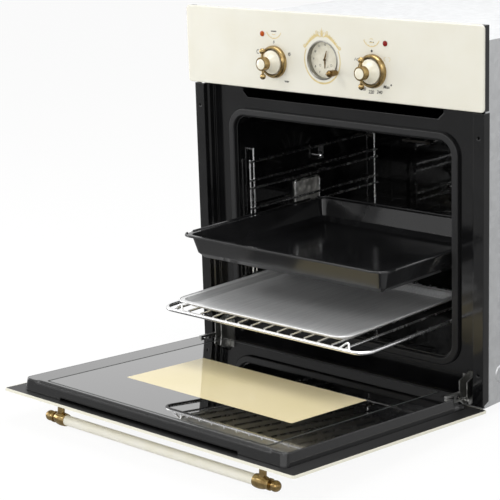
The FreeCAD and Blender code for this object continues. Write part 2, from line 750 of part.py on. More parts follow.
def burner_cover():
    """Floor plate over the burner, slotted along its front and sides, on two long legs."""
    half = FLOOR_W / 2
    y0, y1 = FRAME_Y + COLLAR_D + FLOOR_INSET, CAVITY_BACK - FLOOR_INSET
    plate = prism(rounded(-half, half, y0, y1, FLOOR_SLOT_EDGE, at_height(FLOOR_Z)), ALONG_Z * FLOOR_T)
    leg_x = half - FLOOR_LEG_INSET
    leg = box(leg_x, leg_x + FLOOR_T, y0 + FLOOR_SLOT_EDGE, y1 - FLOOR_SLOT_EDGE, CAVITY_BOTTOM, FLOOR_Z)
    deep = ALONG_Z * (4 * FLOOR_T)
    cuts = []
    across = int((FLOOR_W - 2 * FLOOR_SLOT_PITCH) / FLOOR_SLOT_PITCH)
    for i in range(across):
        x = (i - (across - 1) / 2) * FLOOR_SLOT_PITCH
        at = Vector(x, y0 + FLOOR_SLOT_EDGE, FLOOR_Z)
        cuts.append(obround(FLOOR_SLOT_L, FLOOR_SLOT_W, at, ALONG_X, deep))
    back = int((y1 - y0 - 2 * FLOOR_SLOT_PITCH) / FLOOR_SLOT_PITCH)
    for i in range(back):
        y = y0 + (i + 1.5) * FLOOR_SLOT_PITCH
        for x in (FLOOR_SLOT_EDGE - half, half - FLOOR_SLOT_EDGE):
            cuts.append(obround(FLOOR_SLOT_L, FLOOR_SLOT_W, Vector(x, y, FLOOR_Z), ALONG_Y, deep))
    return fused(plate, *both_sides(leg)).cut(cuts)


def door_seal():
    g = SEAL_GAP
    seal = ring_plate(OPEN_W / 2 + g, OPEN_BOTTOM - g, OPEN_TOP + g, OPEN_CORNER + g, SEAL_W,
                      FRAME_Y - SEAL_T, SEAL_T)
    front = [e for e in seal.Edges if e.BoundBox.YMax < FRAME_Y - SEAL_T + 0.01]
    return seal.makeFillet(SEAL_ROUND, front)


def insulation_wrap():
    c = CAVITY_T + WOOL_CLEAR
    y0 = FRAME_BACK + CASE_SHEET + WOOL_CLEAR
    wool = ring_plate(WALL_X + c, CAVITY_BOTTOM - c, CAVITY_TOP + c, CAVITY_CORNER + c, WOOL_T, y0,
                      CAVITY_BACK - WOOL_CLEAR - y0)
    g = LAMP_CAN_WALL + WOOL_CLEAR
    can = box(-FRONT_W, -WALL_X, LAMP_Y - LAMP_D / 2 - g, LAMP_Y + LAMP_D / 2 + g, LAMP_Z - LAMP_HIGH / 2 - g,
              LAMP_Z + LAMP_HIGH / 2 + g)
    wool = wool.cut(can)
    z = RUNG_TOP - RACK_SCREW_DROP
    wool = hole(wool, SCREW_HEAD_R, Vector(-FRONT_W, RACK_SCREW_Y, z), Vector(FRONT_W, RACK_SCREW_Y, z))
    return hole(wool, FLUE_R + DUCT_T + WOOL_CLEAR, Vector(0, FLUE_Y, LAMP_Z), Vector(0, FLUE_Y, BODY_H))


def vent_duct():
    """Flat duct over the chamber: the flue rises into its tail and it opens at the front, under the panel."""
    def block(grow, low, high, front):
        w, tail = VENT_W / 2 + grow, DUCT_TAIL_W / 2 + grow
        wide = FRAME_BACK + DUCT_STRAIGHT
        plan = [(-w, front), (w, front), (w, wide), (tail, DUCT_BACK_Y + grow), (-tail, DUCT_BACK_Y + grow),
                (-w, wide)]
        return prism(polygon(plan, at_height(low)), ALONG_Z * (high - low))
    duct = block(DUCT_T, DUCT_LOW, DUCT_HIGH, FRAME_BACK)
    foot = Vector(0, FLUE_Y, CAVITY_TOP + CAVITY_T)
    stub = rod(FLUE_R + DUCT_T, foot, Vector(0, FLUE_Y, DUCT_LOW))
    duct = fused(duct, stub).cut(block(0, DUCT_LOW + DUCT_T, DUCT_HIGH - DUCT_T, FRAME_BACK - 1))
    return hole(duct, FLUE_R, foot, Vector(0, FLUE_Y, DUCT_LOW + 2 * DUCT_T))


def side_rack():
    """Right-hand rack of chromed wire: posts on the wall, pairs of rungs that carry the ware."""
    levels = [RUNG_TOP]
    for low in (RUNG_RACK, RUNG_FREE, RUNG_TRAY, RUNG_HIGH):
        levels += [low, low + RUNG_PAIR]
    y0, y1 = RACK_FRONT - WIRE_R - RUNG_PAST, RACK_BACK + WIRE_R + RUNG_PAST
    rungs = [rod(WIRE_R, Vector(RUNG_X, y0, z), Vector(RUNG_X, y1, z)) for z in levels]
    foot = RUNG_RACK - RACK_TAIL
    posts = []
    short = RUNG_TOP + 1.5 * WIRE_R
    for y, top in ((RACK_FRONT, short), (RACK_FRONT + RACK_FRONT_STEP, RACK_TOP), (RACK_BACK, RACK_TOP)):
        posts.append(rod(WIRE_R, Vector(POST_WIRE_X, y, foot), Vector(POST_WIRE_X, y, top)))
    pegs = []
    for y in (RACK_FRONT + RACK_FRONT_STEP, RACK_BACK):
        for z in (foot + WIRE_R, RACK_TOP - WIRE_R):
            pegs.append(rod(PEG_R, Vector(POST_WIRE_X, y, z), Vector(WALL_X, y, z)))
    tab_z = RUNG_TOP - RACK_SCREW_DROP
    tab = box(RUNG_X, RUNG_X + RACK_TAB_T, RACK_SCREW_Y - RACK_TAB_W / 2, RACK_SCREW_Y + RACK_TAB_W / 2,
              tab_z - RACK_TAB_W / 2, RUNG_TOP)
    screw_at = Vector(RUNG_X - 1, RACK_SCREW_Y, tab_z)
    tab = hole(tab, SCREW_R + FIT, screw_at, Vector(WALL_X, RACK_SCREW_Y, tab_z))
    return fused(rungs[0], tab, *rungs[1:], *posts, *pegs)


def rack_screw():
    z = RUNG_TOP - RACK_SCREW_DROP
    tab_back = RUNG_X + RACK_TAB_T
    crown = RUNG_X - SCREW_HEAD_H
    profile = [(crown, 0), (crown, SCREW_HEAD_R - 1), (RUNG_X - 1, SCREW_HEAD_R), (RUNG_X, SCREW_HEAD_R),
               (RUNG_X, SCREW_R), (tab_back, SCREW_R), (tab_back, SCREW_SHOULDER_R),
               (WALL_X, SCREW_SHOULDER_R), (WALL_X, SCREW_R), (WALL_X + 2 * CAVITY_T, SCREW_R),
               (WALL_X + 2 * CAVITY_T, 0)]
    return turned(profile, Vector(0, RACK_SCREW_Y, z), ALONG_X)


def lamp_holder():
    wall = -WALL_X - CAVITY_T
    y0, y1 = LAMP_Y - LAMP_D / 2, LAMP_Y + LAMP_D / 2
    z0, z1 = LAMP_Z - LAMP_HIGH / 2, LAMP_Z + LAMP_HIGH / 2
    g = LAMP_CAN_WALL
    can = box(wall - LAMP_CAN_DEPTH, wall, y0 - g, y1 + g, z0 - g, z1 + g)
    return can.cut(box(wall - LAMP_CAN_DEPTH + g, wall, y0, y1, z0, z1))


def lamp_glass():
    g = LAMP_LENS_LAP
    outline = rounded(LAMP_Y - LAMP_D / 2 - g, LAMP_Y + LAMP_D / 2 + g, LAMP_Z - LAMP_HIGH / 2 - g,
                      LAMP_Z + LAMP_HIGH / 2 + g, LAMP_LENS_CORNER, at_side(-WALL_X))
    lens = prism(outline, ALONG_X * LAMP_LENS_T)
    front = [e for e in lens.Edges if e.BoundBox.XMin > -WALL_X + LAMP_LENS_T - 0.01]
    return lens.makeChamfer(LAMP_LENS_T / 2, front)


def grill_element():
    x, tail = GRILL_W / 2, GRILL_TAIL
    plan = [(-tail, CAVITY_BACK), (-tail, GRILL_BACK), (-x, GRILL_BACK), (-x, GRILL_FRONT), (x, GRILL_FRONT),
            (x, GRILL_BACK), (tail, GRILL_BACK), (tail, CAVITY_BACK)]
    heater = tube([Vector(u, v, GRILL_Z) for u, v in plan], GRILL_R, GRILL_BEND)
    flange = box(-GRILL_PLATE_W / 2, GRILL_PLATE_W / 2, CAVITY_BACK - GRILL_PLATE_T, CAVITY_BACK,
                 GRILL_Z - GRILL_PLATE_H / 2, GRILL_Z + GRILL_PLATE_H / 2)
    hanger = box(-GRILL_HANGER_W / 2, GRILL_HANGER_W / 2, GRILL_FRONT - GRILL_HANGER_T / 2,
                 GRILL_FRONT + GRILL_HANGER_T / 2, GRILL_Z, CAVITY_TOP)
    return fused(heater, flange, hanger)


def thermostat_bulb():
    y = CAVITY_BACK - BULB_ROD_OFF
    end = Vector(BULB_ROD_X, y, BULB_ROD_Z)
    probe = rod(BULB_ROD_R, end - ALONG_X * BULB_ROD_L, end)
    clips = []
    for share in (0.15, 0.85):
        x = BULB_ROD_X - share * BULB_ROD_L
        reach = BULB_ROD_R + 1
        clips.append(box(x - 2, x + 2, y, CAVITY_BACK, BULB_ROD_Z - reach, BULB_ROD_Z + reach))
    return fused(probe, *clips)


# Fan in the back wall

def fan_cover():
    lip, t, h = FAN_COVER_LIP, FAN_COVER_T, FAN_COVER_H
    wide, small = FAN_COVER_R - lip, FAN_COVER_R - lip - FAN_COVER_DRAFT
    profile = [(0, wide), (0, FAN_COVER_R), (t, FAN_COVER_R), (t, wide + t), (h, small), (h, 0), (h - t, 0),
               (h - t, small - t)]
    cover = turned(profile, Vector(0, CAVITY_BACK, FAN_Z), FORWARD)
    centre = Vector(0, CAVITY_BACK - h, FAN_Z)
    reach = (FAN_SLOT_IN + FAN_SLOT_OUT) / 2
    slots = []
    for i in range(FAN_SLOTS):
        angle = 2 * math.pi * i / FAN_SLOTS
        along = Vector(math.cos(angle), 0, math.sin(angle))
        slots.append(obround(FAN_SLOT_OUT - FAN_SLOT_IN, FAN_SLOT_W, centre + along * reach, along,
                             ALONG_Y * (4 * t)))
    return cover.cut(slots)


def fan_rotor():
    front = CAVITY_BACK - FAN_COVER_H + FAN_COVER_T + FAN_GAP
    start = Vector(0, front, FAN_Z)
    hub = rod(FAN_HUB_R, start, start + ALONG_Y * FAN_BLADE_H)
    shaft = rod(FAN_SHAFT_R, start, Vector(0, BACK_FACE + MOTOR_L / 2, FAN_Z))
    disc_at = start + ALONG_Y * FAN_BLADE_H
    disc = rod(FAN_R * 0.8, disc_at - ALONG_Y * FAN_BLADE_T, disc_at)
    blade = box(0, FAN_R, front, front + FAN_BLADE_H, FAN_Z - FAN_BLADE_T / 2, FAN_Z + FAN_BLADE_T / 2)
    blades = []
    for i in range(FAN_BLADES):
        turn = blade.copy()
        turn.rotate(start, ALONG_Y, 360 * i / FAN_BLADES)
        blades.append(turn)
    return fused(hub, shaft, disc, *blades)


def fan_motor():
    half = MOTOR_PLATE / 2
    plate = prism(rounded(-half, half, FAN_Z - half, FAN_Z + half, half / 3, at_depth(BACK_FACE)),
                  ALONG_Y * MOTOR_PLATE_T)
    start = Vector(0, BACK_FACE, FAN_Z)
    can = rod(MOTOR_R, start, start + ALONG_Y * MOTOR_L)
    motor = fused(plate, can)
    return hole(motor, FAN_SHAFT_R + FIT, start, start + ALONG_Y * (MOTOR_L / 2))


# Gas side

def gas_burner():
    tail = BACK_FACE + BURNER_TAIL
    plan = [(GAS_X, tail), (GAS_X, BURNER_FRONT), (-GAS_X, BURNER_FRONT), (-GAS_X, BURNER_END)]
    burner = tube([Vector(x, y, BURNER_Z) for x, y in plan], BURNER_R, BURNER_BEND)
    legs = []
    for x in (-GAS_X, GAS_X):
        y, half = (BURNER_FRONT + BURNER_END) / 2, BURNER_LEG_W / 2
        legs.append(box(x - half, x + half, y, y + BURNER_LEG_T, CAVITY_BOTTOM, BURNER_Z))
    bracket = box(GAS_X, GAS_X + PROBE_PLATE_L, PROBE_Y, PROBE_Y + PROBE_PLATE_T,
                  BURNER_Z - PROBE_PLATE_H / 2, BURNER_Z + PROBE_PLATE_H / 2)
    burner = fused(burner, bracket, *legs)
    for radius, out in ((ELECTRODE_R, ELECTRODE_OUT), (COUPLE_R, COUPLE_OUT)):
        start = Vector(GAS_X + out, PROBE_Y, BURNER_Z)
        burner = hole(burner, radius + FIT, start - ALONG_Y, start + ALONG_Y * (PROBE_PLATE_T + 1))
    mouth = Vector(GAS_X, tail, BURNER_Z)
    return hole(burner, BURNER_BORE, mouth - ALONG_Y * BURNER_TAIL, mouth + ALONG_Y)


def probe(radius, out):
    """Rod through the burner's bracket with a collar that seats on it."""
    start = Vector(GAS_X + out, PROBE_Y - PROBE_L / 3, BURNER_Z)
    seat = Vector(GAS_X + out, PROBE_Y + PROBE_PLATE_T, BURNER_Z)
    stem = rod(radius, start, start + ALONG_Y * PROBE_L)
    return fused(stem, rod(radius * 1.5, seat, seat + ALONG_Y * (2 * PROBE_PLATE_T)))


def hexagon(radius, x, z, y):
    corners = [(math.cos(math.pi * i / 3), math.sin(math.pi * i / 3)) for i in range(6)]
    return polygon([(x + radius * u, z + radius * v) for u, v in corners], at_depth(y))


def burner_injector():
    """Brass jet held in the burner's mouth by a strap from the chamber's back."""
    tail = BACK_FACE + BURNER_TAIL
    at = Vector(GAS_X, tail, BURNER_Z)
    nozzle = rod(BURNER_BORE - 1, at - ALONG_Y * (BURNER_TAIL / 2), at + ALONG_Y * 2)
    body = prism(hexagon(INJECTOR_HEX, GAS_X, BURNER_Z, tail + 1), ALONG_Y * INJECTOR_L)
    x = GAS_X + BURNER_R + 1
    low, high = BURNER_Z - BURNER_R, BURNER_Z + BURNER_R
    strap = box(x, x + INJECTOR_STRAP_T, BACK_FACE, tail + INJECTOR_L, low, high)
    foot = box(x, x + INJECTOR_FOOT, BACK_FACE, BACK_FACE + CASE_SHEET, low, high)
    link = box(GAS_X, x + INJECTOR_STRAP_T, tail + 1, tail + INJECTOR_L, BURNER_Z - 3, BURNER_Z + 3)
    return fused(nozzle, body, link, strap, foot)


def burner_pipe():
    back = CHASSIS_BACK + VALVE_L
    end = BACK_FACE + BURNER_TAIL + 1 + INJECTOR_L
    drop = (end + BODY_D - CASE_SHEET) / 2
    plan = [(back, KNOB_Z), (drop, KNOB_Z), (drop, BURNER_Z), (end, BURNER_Z)]
    return tube([Vector(GAS_X, y, z) for y, z in plan], PIPE_R, min(PIPE_BEND, (drop - end) * 0.9))


def gas_valve():
    """Thermostatic tap: round brass body behind a fixing plate, with the inlet at its right."""
    start = Vector(GAS_X, CHASSIS_BACK, KNOB_Z)
    slim, wide = VALVE_R - VALVE_SLOPE, VALVE_NOSE_L + VALVE_SLOPE
    last, neck = wide + VALVE_BODY_L, 2 * VALVE_SLOPE
    profile = [(0, 0), (0, slim), (VALVE_NOSE_L, slim), (wide, VALVE_R), (last, VALVE_R),
               (last + VALVE_SLOPE, slim), (VALVE_L - neck, slim), (VALVE_L - neck, neck), (VALVE_L, neck),
               (VALVE_L, 0)]
    body = turned(profile, start, ALONG_Y)
    w, h = VALVE_PLATE_W / 2, VALVE_PLATE_H / 2
    plate = prism(rounded(GAS_X - w, GAS_X + w, KNOB_Z - h, KNOB_Z + h, h / 2, at_depth(CHASSIS_BACK)),
                  ALONG_Y * VALVE_PLATE_T)
    inlet = rod(INLET_R + 2, Vector(GAS_X, INLET_Y, KNOB_Z), Vector(GAS_X + VALVE_ARM, INLET_Y, KNOB_Z))
    return hole(fused(body, plate, inlet), SPINDLE_R + FIT, start, start + ALONG_Y * SPINDLE_DEEP)


def gas_inlet():
    """Supply pipe from the threaded union on the back to the valve."""
    rear = BODY_D + CASE_SHEET
    points = [Vector(GAS_X + VALVE_ARM, INLET_Y, KNOB_Z), Vector(INLET_X, INLET_Y, KNOB_Z),
              Vector(INLET_X, rear, KNOB_Z)]
    pipe = tube(points, INLET_R, PIPE_BEND)
    nut = prism(hexagon(INLET_HEX_R, INLET_X, KNOB_Z, rear), ALONG_Y * INLET_HEX_L)
    union = Vector(INLET_X, rear + INLET_HEX_L, KNOB_Z)
    return fused(pipe, nut, rod(INLET_THREAD_R, union, union + ALONG_Y * INLET_THREAD_L))


# Control panel

def panel_holes(plate, spindle, clock, lens, stem, y):
    for x in (SWITCH_X, GAS_X):
        plate = hole(plate, spindle, Vector(x, y - 1, KNOB_Z), Vector(x, y + 5, KNOB_Z))
    for x in lamp_places():
        plate = hole(plate, lens, Vector(x, y - 1, LAMP_HEIGHT), Vector(x, y + 5, LAMP_HEIGHT))
    plate = hole(plate, stem, Vector(SET_X, y - 1, SET_Z), Vector(SET_X, y + 5, SET_Z))
    return hole(plate, clock, Vector(CLOCK_X, y - 1, CLOCK_Z), Vector(CLOCK_X, y + 5, CLOCK_Z))


def lamp_places():
    return CONTROL_MID - LAMP_SPREAD / 2, CONTROL_MID + LAMP_SPREAD / 2


def control_panel():
    half, wall = FRONT_W / 2, PANEL_RIM_WALL
    outline = rounded(-half, half, PANEL_LOW, FRONT_H, PANEL_CORNER, at_depth(FRONT_Y))
    shell = prism(outline, ALONG_Y * PANEL_RIM)
    shell = shell.makeFillet(PANEL_EDGE_ROUND, [e for e in shell.Edges if e.BoundBox.YMax < FRONT_Y + 0.01])
    pocket = rounded(wall - half, half - wall, PANEL_LOW + wall, FRONT_H - wall, PANEL_CORNER - wall,
                     at_depth(FRONT_Y + PANEL_SHEET))
    shell = shell.cut(prism(pocket, ALONG_Y * PANEL_RIM))
    x = half - PANEL_RETURN_INSET
    returns = []
    for low in (PANEL_LOW + wall - PANEL_SHEET, FRONT_H - wall):
        returns.append(box(-x, x, FRONT_Y + PANEL_RIM, CHASSIS_Y, low, low + PANEL_SHEET))
    panel = fused(shell, *returns)
    clock = CLOCK_R + BEZEL_WALL + BEZEL_CLEAR
    return panel_holes(panel, SPINDLE_HOLE_R, clock, LENS_STEM_R + FIT, SET_STEM_R + SET_GAP / 2, FRONT_Y)


def panel_cap():
    """Black end cap, a shallow C that closes the panel's side."""
    outer = FRONT_W / 2 - CAP_INSET
    low, high = PANEL_LOW + CAP_INSET, FRONT_H - CAP_INSET
    path = [(outer - CAP_REACH, low), (outer, low), (outer, high), (outer - CAP_REACH, high)]
    start = FRONT_Y + PANEL_RIM
    return prism(polygon(strip(path, CAP_WALL), at_depth(start)), ALONG_Y * (CHASSIS_Y - start))


def panel_chassis():
    half = FRONT_W / 2 - CHASSIS_INSET
    low, high = PANEL_LOW + CAP_INSET, FRONT_H - CAP_INSET
    plate = box(-half, half, CHASSIS_Y, CHASSIS_BACK, low, high)
    reach = SIDE_X - CHASSIS_FLANGE_INSET
    flange = box(-reach, reach, CHASSIS_BACK, FRAME_Y, low, low + CHASSIS_SHEET)
    inner = SIDE_X - CASE_SHEET
    tab_top = SEAM_H + SIDE_LAP
    tab = box(inner - CHASSIS_SHEET, inner, CHASSIS_BACK, CHASSIS_BACK + CHASSIS_TAB_D,
              FRAME_TOP + CHASSIS_TAB_GAP, tab_top)
    plate = fused(plate, flange, *both_sides(tab))
    return panel_holes(plate, SPINDLE_HOLE_R + 1, CLOCK_R + 1, LENS_STEM_R + FIT, SET_STEM_R + SET_GAP / 2,
                       CHASSIS_Y)


def indicator_lamp(x):
    deep = 1 - PANEL_HOLLOW
    profile = [(deep, 0), (deep, LENS_STEM_R), (0, LENS_STEM_R), (0, LENS_R),
               (LENS_H * 0.4, LENS_R), (LENS_H * 0.85, LENS_R * 0.6, LENS_H, TIP_FLAT), (LENS_H, 0)]
    return turned(profile, Vector(x, FRONT_Y, LAMP_HEIGHT), FORWARD)


def function_switch():
    half = SWITCH_W / 2
    outline = rounded(SWITCH_X - half, SWITCH_X + half, KNOB_Z - half, KNOB_Z + half, half / 5,
                      at_depth(CHASSIS_BACK))
    case = prism(outline, ALONG_Y * SWITCH_L)
    start = Vector(SWITCH_X, CHASSIS_BACK, KNOB_Z)
    stack = rod(half * 0.8, start + ALONG_Y * SWITCH_L, start + ALONG_Y * (SWITCH_L + 8))
    return hole(fused(case, stack), SPINDLE_R + FIT, start, start + ALONG_Y * SPINDLE_DEEP)


def spindle(x):
    start = Vector(x, FRONT_Y - SPINDLE_TIP, KNOB_Z)
    return rod(SPINDLE_R, start, Vector(x, CHASSIS_BACK + SPINDLE_DEEP - 1, KNOB_Z))


def knob_ring(x):
    inner = RING_R - RING_WALL
    profile = [(0, inner - RING_SLOPE), (0, RING_R), (RING_H * 0.3, RING_R),
               (RING_H * 0.8, RING_R - RING_WALL * 0.3, RING_H, inner + RING_WALL * 0.35), (RING_H, inner)]
    return turned(profile, Vector(x, FRONT_Y, KNOB_Z), FORWARD)


def knob(x):
    """Ivory knob: a hollow-sided cone, a neck for the brass collar and a small domed cap."""
    waist = (KNOB_LIFT + KNOB_CONE_END) / 2 + 1
    profile = [(KNOB_LIFT, SPINDLE_R + FIT), (KNOB_LIFT, KNOB_R), (KNOB_LIFT + 3, KNOB_R),
               (waist, (KNOB_R + KNOB_SMALL_R) / 2 - 1, KNOB_CONE_END, KNOB_SMALL_R),
               (KNOB_CONE_END, KNOB_NECK_R), (KNOB_NECK_END, KNOB_NECK_R),
               ((3 * KNOB_L + KNOB_NECK_END) / 4, KNOB_NECK_R / 2, KNOB_L, TIP_FLAT), (KNOB_L, 0),
               (KNOB_BORE_END, 0), (KNOB_BORE_END, SPINDLE_R + FIT)]
    return turned(profile, Vector(x, FRONT_Y, KNOB_Z), FORWARD)


def knob_crossbar(x):
    """Brass collar with two arms that end in balls."""
    bore, e = KNOB_NECK_R + FIT, COLLAR_EDGE
    end = KNOB_NECK_END - FIT
    start = KNOB_CONE_END + FIT
    profile = [(start, bore), (start, COLLAR_R - e), (start + e, COLLAR_R), (end - 4 * e, COLLAR_R),
               (end - 3 * e, COLLAR_R - e), (end - 2 * e, COLLAR_R), (end - e, COLLAR_R), (end, COLLAR_R - e),
               (end, bore)]
    collar = turned(profile, Vector(x, FRONT_Y, KNOB_Z), FORWARD)
    y = FRONT_Y - CROSSBAR_AT
    arms = []
    for side in (-1, 1):
        root = Vector(x, y, KNOB_Z + side * (bore + 1))
        ball = Vector(x, y, KNOB_Z + side * BALL_OFFSET)
        arms += [rod(CROSSBAR_R, root, ball), Part.makeSphere(BALL_R, ball)]
    return fused(collar, *arms)


# Clock

def clock_movement():
    front = FRONT_Y + DIAL_DEPTH + DIAL_T
    start = Vector(CLOCK_X, front, CLOCK_Z)
    body = rod(CLOCK_R, start, start + ALONG_Y * MOVEMENT_L)
    flange_at = Vector(CLOCK_X, CHASSIS_BACK, CLOCK_Z)
    flange = rod(MOVEMENT_FLANGE_R, flange_at, flange_at + ALONG_Y * 3)
    arbor = rod(ARBOR_R, Vector(CLOCK_X, front - DIAL_T - 5 * HAND_T, CLOCK_Z), start)
    movement = fused(body, flange, arbor)
    return hole(movement, SET_STEM_R + FIT, Vector(SET_X, CHASSIS_BACK - 1, SET_Z),
                Vector(SET_X, CHASSIS_BACK + 4, SET_Z))


def clock_bezel():
    barrel = CLOCK_R + BEZEL_WALL
    deep = -DIAL_DEPTH - DIAL_T
    profile = [(deep, CLOCK_R + FIT), (deep, barrel), (0, barrel), (0, BEZEL_R), (BEZEL_H * 0.5, BEZEL_R),
               (BEZEL_H * 0.9, BEZEL_R - BEZEL_LIP * 0.3, BEZEL_H, BEZEL_R - BEZEL_LIP * 0.7),
               (0, CLOCK_R + FIT)]
    return turned(profile, Vector(CLOCK_X, FRONT_Y, CLOCK_Z), FORWARD)


def clock_dial():
    start = Vector(CLOCK_X, FRONT_Y + DIAL_DEPTH, CLOCK_Z)
    dial = rod(CLOCK_R - FIT, start, start + ALONG_Y * DIAL_T)
    return hole(dial, ARBOR_R + FIT, start - ALONG_Y, start + ALONG_Y * 2)


def clock_hand(length, y, turn):
    """Tapered hand with a round hub on the arbor, turned clockwise from twelve."""
    centre = Vector(CLOCK_X, y, CLOCK_Z)
    hub = rod(2 * ARBOR_R, centre, centre + ALONG_Y * HAND_T)
    tip = HAND_W / 6
    outline = [(-tip, 0), (tip, 0), (HAND_W / 2, length / 3), (tip, length), (-tip, length),
               (-HAND_W / 2, length / 3)]
    blade = prism(polygon([(CLOCK_X + u, CLOCK_Z + v) for u, v in outline], at_depth(y)), ALONG_Y * HAND_T)
    hand = hole(fused(hub, blade), ARBOR_R + FIT, centre - ALONG_Y, centre + ALONG_Y * 2)
    hand.rotate(centre, ALONG_Y, turn)
    return hand


def clock_setting_knob():
    at = Vector(SET_X, FRONT_Y, SET_Z)
    deep = FRONT_Y - CHASSIS_BACK - 3
    nose = SET_END - SET_R
    slim = SET_R * 0.85
    profile = [(deep, 0), (deep, SET_STEM_R), (SET_START, SET_STEM_R), (SET_START, slim), (nose, SET_R),
               (nose, slim), (SET_END - SET_R * 0.3, SET_R * 0.66, SET_END, TIP_FLAT), (SET_END, 0)]
    return turned(profile, at, FORWARD)


def terminal_box():
    half_w, half_h = TERMINAL_W / 2, TERMINAL_H / 2
    rear = BODY_D + CASE_SHEET
    outline = rounded(TERMINAL_X - half_w, TERMINAL_X + half_w, TERMINAL_Z - half_h, TERMINAL_Z + half_h, 4,
                      at_depth(rear))
    cover = prism(outline, ALONG_Y * TERMINAL_D)
    at = Vector(TERMINAL_X, rear + TERMINAL_D / 2, TERMINAL_Z - half_h)
    gland = rod(GLAND_R, at - ALONG_Z * GLAND_L, at)
    return hole(fused(cover, gland), GLAND_R / 2, at - ALONG_Z * GLAND_L, at + ALONG_Z * (GLAND_L / 2))


# Door, drawn shut and then turned down on its hinge

def opened(shape):
    turned_down = shape.copy()
    turned_down.rotate(Vector(0, PIVOT_Y, PIVOT_Z), ALONG_X, DOOR_OPEN)
    return turned_down


def door_block(half, low, high, corner, deep):
    """Wire of a rounded rectangle in the door, at a depth behind the glass face."""
    return rounded(-half, half, DOOR_BOTTOM + low, DOOR_BOTTOM + high, corner, at_depth(FRONT_Y + deep))


def door_outer_glass():
    glass = prism(door_block(FRONT_W / 2, 0, DOOR_H, GLASS_CORNER, 0), ALONG_Y * GLASS_T)
    z = DOOR_BOTTOM + HANDLE_UP
    for x in (-POST_X, POST_X):
        glass = hole(glass, STUD_R + FIT, Vector(x, FRONT_Y - 1, z), Vector(x, FRONT_Y + GLASS_T + 1, z))
    return glass


def door_pan():
    """Enamelled inner pan: sloping walls, hinge pockets and a recessed ledge for the inner glass."""
    half = FRONT_W / 2 - PAN_INSET
    low, high = PAN_BOTTOM_INSET, DOOR_H - PAN_TOP_INSET

    def body(t):
        base = door_block(half - t, low + t, high - t, PAN_CORNER - t, GLASS_T)
        top = door_block(half - PAN_DRAFT - t, low + PAN_FOOT_DRAFT + t, high - PAN_DRAFT - t, PAN_CORNER - t,
                         DOOR_T - t)
        block = Part.makeLoft([base, top], True, True)
        floor = FRONT_Y + GLASS_T + POCKET_FLOOR - t
        pocket = box(HINGE_X - POCKET_W / 2 - t, HINGE_X + POCKET_W / 2 + t, floor, FRONT_Y + 2 * DOOR_T, 0,
                     DOOR_BOTTOM + POCKET_L + t)
        w, foot, rise = STEP_W / 2 + t, DOOR_BOTTOM + high - STEP_D - t, 3 * STEP_D
        plan = [(-w, foot), (w, foot), (w + rise, foot + rise), (-w - rise, foot + rise)]
        step = prism(polygon(plan, at_depth(FRONT_Y + DOOR_T - STEP_H - t)), ALONG_Y * DOOR_T)
        return block.cut(both_sides(pocket) + [step])

    pan = body(0).cut(body(PAN_T))
    w = INNER_W / 2 + INNER_CLEAR
    lo, hi = INNER_LOW - INNER_CLEAR, INNER_HIGH + INNER_CLEAR
    seat = DOOR_T - GLASS_T
    t = PAN_T
    tray = prism(door_block(w + t, lo - t, hi + t, INNER_CORNER + t, seat - t), ALONG_Y * (GLASS_T + t / 2))
    recess = prism(door_block(w, lo, hi, INNER_CORNER, seat), ALONG_Y * (GLASS_T + 1))
    window = prism(door_block(w - LEDGE_W, lo + LEDGE_W, hi - LEDGE_W, INNER_CORNER, seat - 2 * t),
                   ALONG_Y * (3 * t))
    air = box(-AIR_SLOT_W / 2, AIR_SLOT_W / 2, FRONT_Y, FRONT_Y + GLASS_T + AIR_SLOT_H,
              DOOR_BOTTOM + high - 2 * PAN_CORNER / 3, FRONT_H)
    slot_x = ARM_T / 2 + 1
    arm_slot = box(HINGE_X - slot_x, HINGE_X + slot_x, PIVOT_Y - ARM_HALF - 1, PIVOT_Y + ARM_HALF + 1,
                   DOOR_BOTTOM + POCKET_L - 1, DOOR_BOTTOM + POCKET_L + 2 * t)
    slant = [(FRONT_Y + GLASS_T, DOOR_BOTTOM + low), (FRONT_Y + DOOR_T + 1, DOOR_BOTTOM + low),
             (FRONT_Y + DOOR_T + 1, DOOR_BOTTOM + low + SIDE_SLANT)]
    wedge = prism(polygon(slant, at_side(HINGE_X + POCKET_W / 2)), ALONG_X * PAN_INSET)
    pan = fused(pan, tray).cut([recess, window, air])
    return pan.cut(both_sides(arm_slot) + both_sides(wedge))


def door_inner_glass():
    wire = door_block(INNER_W / 2, INNER_LOW, INNER_HIGH, INNER_CORNER, DOOR_T - GLASS_T)
    return prism(wire, ALONG_Y * GLASS_T)


def handle_axis():
    return Vector(0, FRONT_Y - HANDLE_OFF, DOOR_BOTTOM + HANDLE_UP)


def handle_bar():
    axis = handle_axis()
    return rod(HANDLE_R, axis - ALONG_X * (HANDLE_L / 2), axis + ALONG_X * (HANDLE_L / 2))


